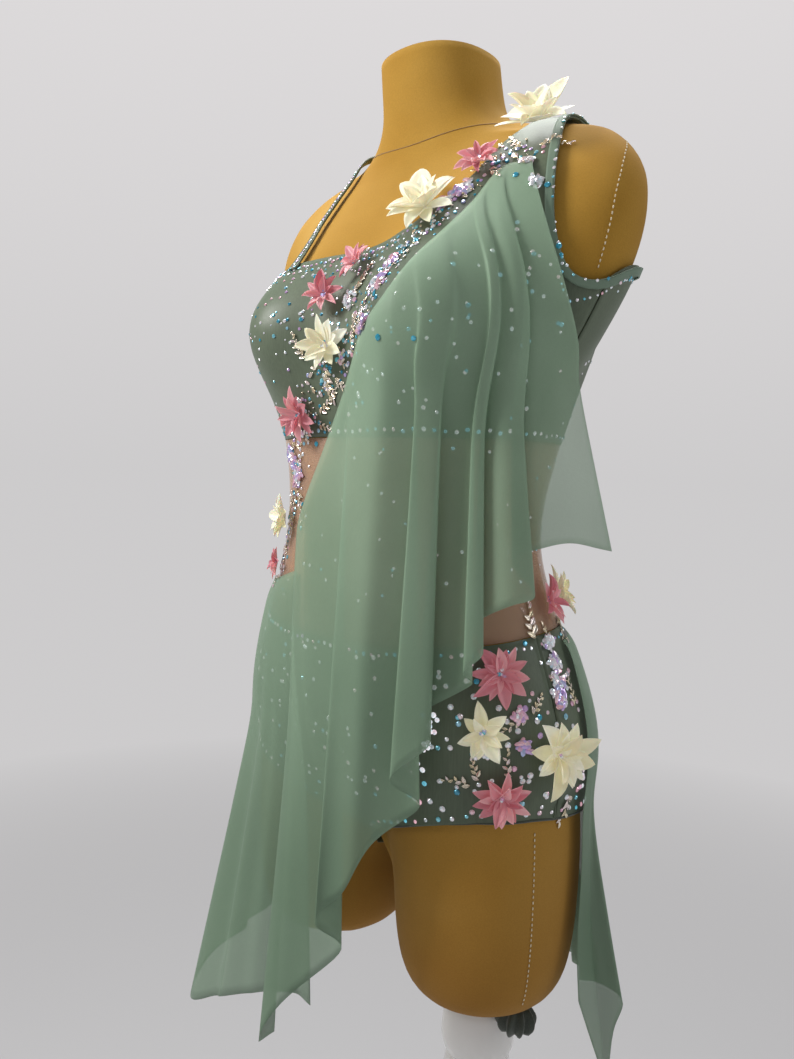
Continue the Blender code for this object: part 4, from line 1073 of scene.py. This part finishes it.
for angles, heights, count, low, high, mix in scatterFields:
    for _ in range(count):
        spot, normal = aroundBody(pickField.uniform(*angles), pickField.uniform(*heights), dressedTree)
        if spot is not None:
            addStone(pickField, spot, normal, pickField.uniform(low, high) * 0.001, mix)
print("fields set,", len(stones), "stones")


# garland of clusters, sprigs and drops

garlandLine = [
    (13.6, -1.0, 32.0), (11.4, -1.8, 32.2), (10.5, -2.8, 31.0), (9.0, -4.8, 28.4), (8.0, -6.6, 26.4),
    (7.0, -8.6, 24.2), (6.4, -9.8, 22.4),
    (5.9, -10.6, 20.8), (4.4, -10.8, 19.0), (2.6, -10.4, 17.6), (1.8, -10.2, 16.2), (0.8, -9.9, 14.8),
    (-1.1, -9.6, 14.0),
    (-3.0, -9.7, 12.4), (-4.4, -9.4, 10.2), (-5.8, -8.8, 8.2), (-7.0, -8.3, 6.4), (-6.6, -8.4, 4.4),
    (-7.2, -8.2, 2.4),
    (-8.6, -8.0, 0.2), (-9.4, -7.9, -2.2), (-10.2, -7.9, -5.0),
]
clusters = [  # x, y, height, spread cm, stones, beads, mix
    (8.7, -4.4, 28.7, 0.9, 34, 12, {"rose": 5, "lilac": 3, "clear": 4}),
    (7.6, -5.4, 27.4, 0.6, 16, 8, {"rose": 4, "clear": 3}),
    (6.3, -9.9, 22.2, 0.7, 22, 10, {"clear": 4, "rose": 3, "lilac": 2}),
    (5.7, -10.7, 20.6, 0.8, 24, 12, {"clear": 4, "rose": 3, "lilac": 1}),
    (4.6, -11.1, 17.5, 0.7, 24, 8, {"rose": 6, "lilac": 2, "clear": 2}),
    (1.1, -9.2, 20.0, 0.8, 10, 18, {"clear": 4, "rose": 1}),
    (-7.8, -8.0, 7.0, 1.1, 40, 14, {"rose": 5, "lilac": 3, "clear": 4}),
    (-6.6, -8.4, 5.2, 1.0, 34, 14, {"rose": 5, "lilac": 3, "clear": 4}),
    (15.6, 0.1, -8.0, 0.6, 22, 8, {"clear": 7, "lilac": 1}),
    (16.1, 0.2, -9.6, 0.7, 28, 8, {"clear": 6, "lilac": 2}),
    (16.5, 0.0, -11.0, 0.8, 34, 12, {"rose": 3, "lilac": 3, "clear": 5}),
    (16.8, -0.4, -12.4, 0.9, 34, 14, {"rose": 5, "lilac": 3, "clear": 4}),
    (15.9, -4.4, -13.3, 0.5, 14, 8, {"rose": 5, "clear": 2}),
    (16.4, -4.2, -15.6, 0.5, 16, 6, {"rose": 6, "lilac": 1}),
    (13.2, -1.7, 30.3, 0.5, 10, 8, {"clear": 6}), (14.4, -2.2, 28.4, 0.5, 12, 4, {"clear": 8}),
]
bigStones = [  # x, y, height, radius mm, tone
    (12.9, -2.7, 28.9, 2.6, 0.88), (15.4, -2.1, 28.1, 2.6, 0.9), (16.7, -2.3, 23.3, 2.4, 0.9),
    (7.2, -11.8, 16.1, 2.8, 0.88),
    (9.8, -11.1, 15.9, 2.2, 0.84), (-1.1, -8.0, 22.9, 2.6, 0.9), (-4.0, -8.8, 22.6, 2.4, 0.88),
    (-3.8, -10.6, 18.7, 2.2, 0.9),
    (-8.6, -7.6, 9.6, 2.2, 0.86), (-3.2, -9.4, 8.0, 2.6, 0.88), (-2.6, -9.6, 9.8, 2.4, 0.9),
    (-4.6, -8.8, 2.6, 2.4, 0.9),
    (-5.4, -8.8, 0.4, 2.3, 0.88), (16.3, -2.6, -13.6, 2.7, 0.88), (13.4, -6.6, -10.6, 2.3, 0.9),
    (14.6, -2.4, -8.0, 2.4, 0.9),
    (12.6, -7.8, -19.6, 2.6, 0.95), (16.9, -0.4, -10.4, 3.6, 0.1), (13.2, -1.6, 30.2, 3.6, 0.05),
    (14.5, -2.2, 28.3, 3.8, 0.02),
]
sprigs = [  # x, y, height, heading degrees from up, length cm, leaves each side, leaf length cm
    (13.7, -0.5, 31.9, 60, 2.4, 3, 0.75), (12.2, -1.4, 32.6, -60, 2.2, 3, 0.7),
    (10.2, -3.0, 30.4, 120, 2.2, 3, 0.6),
    (1.4, -9.2, 20.6, 20, 2.8, 5, 0.7), (2.4, -9.6, 18.6, 160, 2.2, 4, 0.6),
    (-3.4, -10.2, 15.4, -50, 2.4, 4, 0.6),
    (-1.4, -9.6, 14.4, 170, 3.0, 4, 0.75), (-0.4, -9.5, 13.4, 120, 2.0, 3, 0.6),
    (-2.4, -9.4, 10.6, 60, 3.0, 5, 0.6),
    (-2.8, -9.3, 9.8, 110, 2.4, 4, 0.5), (-7.2, -8.2, 8.8, -10, 3.0, 5, 0.7),
    (-6.0, -8.5, 3.6, 150, 3.2, 4, 0.7),
    (-7.6, -8.0, 3.4, -160, 2.4, 4, 0.7), (-8.6, -7.8, -0.8, 170, 3.0, 4, 0.6),
    (15.4, -1.4, -7.6, -12, 3.2, 4, 0.95),
    (16.2, 0.2, -8.6, 12, 2.4, 3, 0.8), (15.8, -3.6, -13.4, -120, 2.2, 3, 0.6),
    (16.6, -3.4, -13.2, 40, 1.8, 3, 0.6),
    (13.5, -7.0, -18.9, -60, 2.4, 3, 0.6), (14.0, -6.7, -18.4, -20, 1.8, 3, 0.6),
    (18.0, 0.2, -20.2, 175, 2.6, 3, 0.9),
    (17.0, 1.6, -13.4, 10, 2.6, 4, 0.7), (13.8, 3.6, -6.4, -150, 2.4, 4, 0.7),
    (15.2, -4.4, -18.0, -30, 2.2, 3, 0.6),
]
garlandMix = {"clear": 4, "rose": 3, "lilac": 2, "aqua": 2, "teal": 3}
beadSizes = (0.0007, 0.0012)
pickGarland = random.Random(47)
beads, leaves = [], []


def addBead(pick, spot, normal, big):
    beads.append((spot, normal, crossOf(normal)[0], (big, big, big), pick.random()))


def scatterRound(pick, centre, spread):
    normal = onCloth(centre, 0.0, hungTree)[1]
    up, side = crossOf(normal)
    reach = spread * math.sqrt(pick.random())
    angle = pick.uniform(0, 6.28)
    across, over = reach * math.cos(angle), reach * math.sin(angle)
    return onCloth(np.array(centre) + np.array(up) * across + np.array(side) * over, 0.0, hungTree)


for x, y, height, spread, stoneCount, beadCount, mix in clusters:
    for _ in range(stoneCount):
        spot, normal = scatterRound(pickGarland, (x, y, height), spread)
        lean = (normal + Vector([pickGarland.uniform(-0.35, 0.35) for _ in range(3)])).normalized()
        long = pickGarland.uniform(1.0, 1.9)
        big = pickGarland.uniform(0.0021, 0.0034)
        spot = spot + normal * pickGarland.uniform(0, 0.0022)
        addStone(pickGarland, spot, lean, big, mix, (long, 0.75, 1.0))
    for _ in range(beadCount):
        spot, normal = scatterRound(pickGarland, (x, y, height), spread * 1.2)
        spot = spot + normal * pickGarland.uniform(0, 0.001)
        addBead(pickGarland, spot, normal, pickGarland.uniform(*beadSizes))

for place in throughRows(garlandLine, np.linspace(0, len(garlandLine) - 1, 560)):
    spot, normal = scatterRound(pickGarland, place, 1.5)
    draw = pickGarland.random()
    if draw < 0.60:
        addStone(pickGarland, spot, normal, pickGarland.uniform(0.0012, 0.0023), garlandMix)
    elif draw < 0.85:
        addBead(pickGarland, spot, normal, pickGarland.uniform(*beadSizes))
    else:
        along = anyWay(pickGarland, normal)
        leaves.append((spot + normal * 0.0006, normal, along, (0.006,) * 3, pickGarland.random()))

for x, y, height, big, tone in bigStones:
    spot, normal = onCloth((x, y, height), 0.0, hungTree)
    stones.append((spot, normal, crossOf(normal)[0], (big * 0.001,) * 3, tone))


def addSprig(pick, x, y, height, heading, length, pairs, leaf):
    spot, normal = onCloth((x, y, height), 0.0, hungTree)
    up, side = crossOf(normal)
    turn = math.radians(heading)
    centre = np.array((x, y, height), dtype=float)
    bend = pick.uniform(-0.5, 0.5)
    for step in range(pairs * 2 + 1):
        share = (step + 0.5) / (pairs * 2 + 1)
        angle = turn + bend * share
        way = np.array(up) * math.cos(angle) + np.array(side) * math.sin(angle)
        here, out = onCloth(centre + way * length * share, 0.0009, hungTree)
        addBead(pick, here - out * 0.0006, out, 0.0007)
        split = 0.0 if step == pairs * 2 else (0.75 if step % 2 else -0.75)
        reach = np.array(up) * math.cos(angle + split) + np.array(side) * math.sin(angle + split)
        along = (Vector(reach) + out * 0.18).normalized()
        size = leaf * 0.01 * (1.05 - 0.45 * share) * pick.uniform(0.9, 1.1)
        leaves.append((here, out, along, (size, size, size), pick.random()))


for row in sprigs:
    addSprig(pickGarland, *row)

coverTree = surfaceTree([frontDrape, backSkirt])
openStones, veiledStones = [], []
for row in stones:
    spot, normal = row[:2]
    if formTree.find_nearest(spot)[3] > 0.0015:  # none on the bare form
        covered = coverTree.ray_cast(spot + normal * 0.003, normal, 0.09)[0]
        (veiledStones if covered else openStones).append(row)
plant("stones", openStones, stoneShape, crystalFinish)
plant("stonesUnderMesh", veiledStones, stoneShape, veiledCrystal)
plant("flowerHearts", hearts, stoneShape, crystalFinish)
plant("beads", beads, beadShape, giltFinish)
plant("sequinLeaves", leaves, leafShape, giltFinish)


# seams and stitches

seamLines = {
    "neck": {"height": 36.6, "tilt": 1.4, "radius": 0.0005},
    "stub": [
        (18.9, 4.1, 33.2), (19.8, 2.0, 31.0), (20.1, 0.6, 28.4), (20.1, 0.0, 26.0), (19.7, -0.2, 23.6),
        (19.2, -0.3, 21.6),
    ],
    "thighAngle": -24.0, "thighTop": -22.6, "thighBottom": -39.4,
    "thighMiddle": (9.4, 0.8), "thighReach": (9.5, 10.0), "stitchGap": 0.42,
    "stitch": (0.0014, 0.0006, 0.0005),
}


def onForm(angle, height, lift):
    # a place just off the bare form
    spot, normal = aroundBody(angle, height, formTree)
    return spot + normal * lift


def finishTrim(piece):
    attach(piece, "root")


def makeSeams(lines):
    neck = lines["neck"]
    route = []
    for angle in np.arange(0, 360, 3.75):
        height = neck["height"] + neck["tilt"] * math.sin(math.radians(angle))
        route.append(onForm(angle, height, 0.0001))
    seam = tubeAlong("neckSeam", route, neck["radius"], seamThread, closed=True)
    finishTrim(seam)
    stitches = []
    for side in (1, -1):
        table = np.array(lines["stub"]) * np.array([side, 1, 1])
        routes = [throughRows(table, np.linspace(0, len(table) - 1, 200))]
        turn = math.radians(lines["thighAngle"])
        x, y = lines["thighMiddle"]
        wide, deep = lines["thighReach"]
        x, y = side * (x + wide * math.cos(turn)), y + deep * math.sin(turn)
        heights = np.linspace(lines["thighTop"], lines["thighBottom"], 240)
        routes.append(np.array([(x, y, height) for height in heights]))
        for route in routes:
            before = None
            for place in fromWaist(route):
                near, normal = formTree.find_nearest(Vector(place))[:2]
                if before is not None and (near - before).length < lines["stitchGap"] * 0.01:
                    continue
                if before is not None:
                    along = (near - before).normalized()
                    stitches.append((near + normal * 0.0002, normal, along, lines["stitch"], 0.5))
                before = near
    plant("formStitches", stitches, beadShape, paleThread, slot="mustard_cloth")


makeSeams(seamLines)


sideSeams = [  # name, angle, lowest and highest place, lift off the form
    ("briefSeamLeft", -5, -21.9, -7.4, 0.0042), ("briefSeamRight", 180, -21.9, -7.4, 0.0042),
    ("bodiceSeamLeft", -5, 8.7, 21.0, 0.0035), ("bodiceSeamRight", 180, 8.7, 20.7, 0.0035),
]
for name, angle, low, high, lift in sideSeams:  # overlocked seams close the panels at both sides
    route = [onForm(angle, height, lift) for height in np.linspace(low, high, 60)]
    finishTrim(tubeAlong(name, route, 0.0008, jerseyFinish))

for name, mirror in (("leftLegEdge", False), ("rightLegEdge", True)):  # near-black tubes tucked under the leg lines, where the brief's edge meets the form
    route = []
    for angle in np.arange(-76, 68, 2.0):
        height = float(lineHeight(legLine, angle)) + 0.02
        route.append(onForm(180 - angle if mirror else angle, height, 0.0032))
    finishTrim(tubeAlong(name, route, 0.0011, darkThread))

tuft = {
    "centre": (0.137, 0.001, 0.600), "radius": 0.014, "drop": 0.021, "pleats": 9, "layers": 9, "sides": 72,
}


def makeTuft(sizes):
    # gathered black cloth end beside the post
    x, y, z = sizes["centre"]
    points, sides = [], sizes["sides"]
    for layer in range(sizes["layers"] + 1):
        share = layer / sizes["layers"]
        for step in range(sides):
            turn = 2 * math.pi * step / sides
            pleat = (0.12 + 0.16 * share) * math.sin(sizes["pleats"] * turn + 1.3 * share)
            wave = 1 + pleat + 0.05 * math.sin(4 * turn)
            radius = sizes["radius"] * (0.35 + 0.75 * math.sin(math.pi * (0.18 + 0.62 * share))) * wave
            place = (x + radius * math.cos(turn), y + radius * math.sin(turn), z - sizes["drop"] * share)
            points.append(place)
    faces = closedRings(sizes["layers"] + 1, sides)
    finishTrim(meshPiece("blackTuft", points, faces, darkThread))


makeTuft(tuft)
for shape in (stoneShape, beadShape, creamPetal, pinkPetal, leafShape):
    bpy.data.objects.remove(shape)
print("seams and edges done")


# studio

studio = {
    "horizon": (0.61, 0.60, 0.605, 1.0), "high": (0.73, 0.71, 0.715, 1.0), "ambient": 0.36,
    "floor": {
        "radius": 14.0, "rings": 24, "sides": 96, "colour": (0.56, 0.56, 0.57, 1.0), "fade": (0.6, 2.6),
    },
    "lights": [  # name, place, aim, width, power, colour
        ("key", (-0.75, -1.15, 2.0), (0.0, 0.0, 1.35), 0.6, 25, (1.0, 0.985, 0.96)),
        ("top", (-0.2, 0.4, 2.7), (0.0, 0.0, 1.2), 1.2, 32, (1.0, 1.0, 1.0)),
        ("fill", (2.3, 1.1, 1.9), (0.0, 0.0, 1.2), 1.0, 9, (0.96, 0.98, 1.0)),
    ],
}


def makeFloor(sizes):
    rings, sides = sizes["rings"], sizes["sides"]
    points, faces = [(0.0, 0.0, 0.0)], []
    for ring in range(1, rings + 1):
        for step in range(sides):
            turn = 2 * math.pi * step / sides
            radius = sizes["radius"] * (ring / rings) ** 2
            points.append((radius * math.cos(turn), radius * math.sin(turn), 0.0))
    for step in range(sides):
        faces.append((0, 1 + step, 1 + (step + 1) % sides))
    for ring in range(rings - 1):
        for step in range(sides):
            after = (step + 1) % sides
            inner, outer = 1 + ring * sides, 1 + (ring + 1) * sides
            faces.append((inner + step, outer + step, outer + after, inner + after))
    finish = newFinish("paleFloor", {"Roughness": 0.9, "Base Color": sizes["colour"]})
    floor = meshPiece("floor", points, faces, finish, smooth=False)
    floor.location = (0, 0, -0.0005)
    near, far = sizes["fade"]  # further out the floor turns into the background's own tone
    place = addNode(finish, "ShaderNodeTexCoord")
    length = addNode(finish, "ShaderNodeVectorMath", operation="LENGTH")
    fade = addNode(finish, "ShaderNodeMapRange", {"From Min": near, "From Max": far})
    glow = addNode(finish, "ShaderNodeEmission", {"Color": studio["horizon"]})
    blend = addNode(finish, "ShaderNodeMixShader")
    join(finish, place, "Object", length, 0)
    join(finish, length, "Value", fade, "Value")
    join(finish, fade, "Result", blend, 0)
    join(finish, shaderOf(finish), 0, blend, 1)
    join(finish, glow, 0, blend, 2)
    join(finish, blend, 0, finish.node_tree.nodes["Material Output"], "Surface")


def makeStudio():
    world = bpy.data.worlds.new("studio")
    world.use_nodes = True
    nodes, link = world.node_tree.nodes, world.node_tree.links.new
    kinds = ("TexCoord", "SeparateXYZ", "MapRange", "ValToRGB", "LightPath", "Background", "MixShader")
    look, split, rise, shade, rays, ambient, pick = (nodes.new("ShaderNode" + kind) for kind in kinds)
    wall = nodes["Background"]
    rise.inputs["From Max"].default_value = 0.5
    shade.color_ramp.elements[0].color = studio["horizon"]
    shade.color_ramp.elements[1].color = studio["high"]
    ambient.inputs["Color"].default_value = studio["high"]
    ambient.inputs["Strength"].default_value = studio["ambient"]
    link(look.outputs["Generated"], split.inputs[0])
    link(split.outputs["Z"], rise.inputs["Value"])
    link(rise.outputs["Result"], shade.inputs["Fac"])
    link(shade.outputs["Color"], wall.inputs["Color"])
    link(rays.outputs["Is Camera Ray"], pick.inputs[0])  # only the camera sees the wall
    link(ambient.outputs[0], pick.inputs[1])
    link(wall.outputs[0], pick.inputs[2])
    link(pick.outputs[0], nodes["World Output"].inputs["Surface"])
    bpy.context.scene.world = world
    for name, place, aim, width, power, colour in studio["lights"]:
        data = bpy.data.lights.new(name, "AREA")
        data.size, data.energy, data.color = width, power, colour
        light = bpy.data.objects.new(name, data)
        light.location = place
        light.rotation_euler = (Vector(aim) - Vector(place)).to_track_quat("-Z", "Y").to_euler()
        bpy.context.scene.collection.objects.link(light)


cameraView = {
    "place": (0.5353, -0.5945, 1.055), "forward": (-0.67930, 0.73102, -0.06453),
    "up": (-0.06309, 0.02944, 0.99757), "lens": 28.9,
}


def makeCamera(view):
    data = bpy.data.cameras.new("camera")
    data.lens, data.sensor_width, data.sensor_fit = view["lens"], 36.0, "AUTO"
    data.clip_start = 0.01
    forward, up = Vector(view["forward"]).normalized(), Vector(view["up"]).normalized()
    right = forward.cross(up).normalized()
    up = right.cross(forward)
    camera = bpy.data.objects.new("camera", data)
    turn = Matrix((right, up, -forward)).transposed().to_4x4()
    camera.matrix_world = Matrix.Translation(view["place"]) @ turn
    bpy.context.scene.collection.objects.link(camera)
    bpy.context.scene.camera = camera


makeFloor(studio["floor"])
makeStudio()
makeCamera(cameraView)
bpy.context.scene.cycles.transparent_max_bounces = 32
bpy.context.scene.view_settings.view_transform = "Standard"
bpy.context.view_layer.update()
print("scene ready")
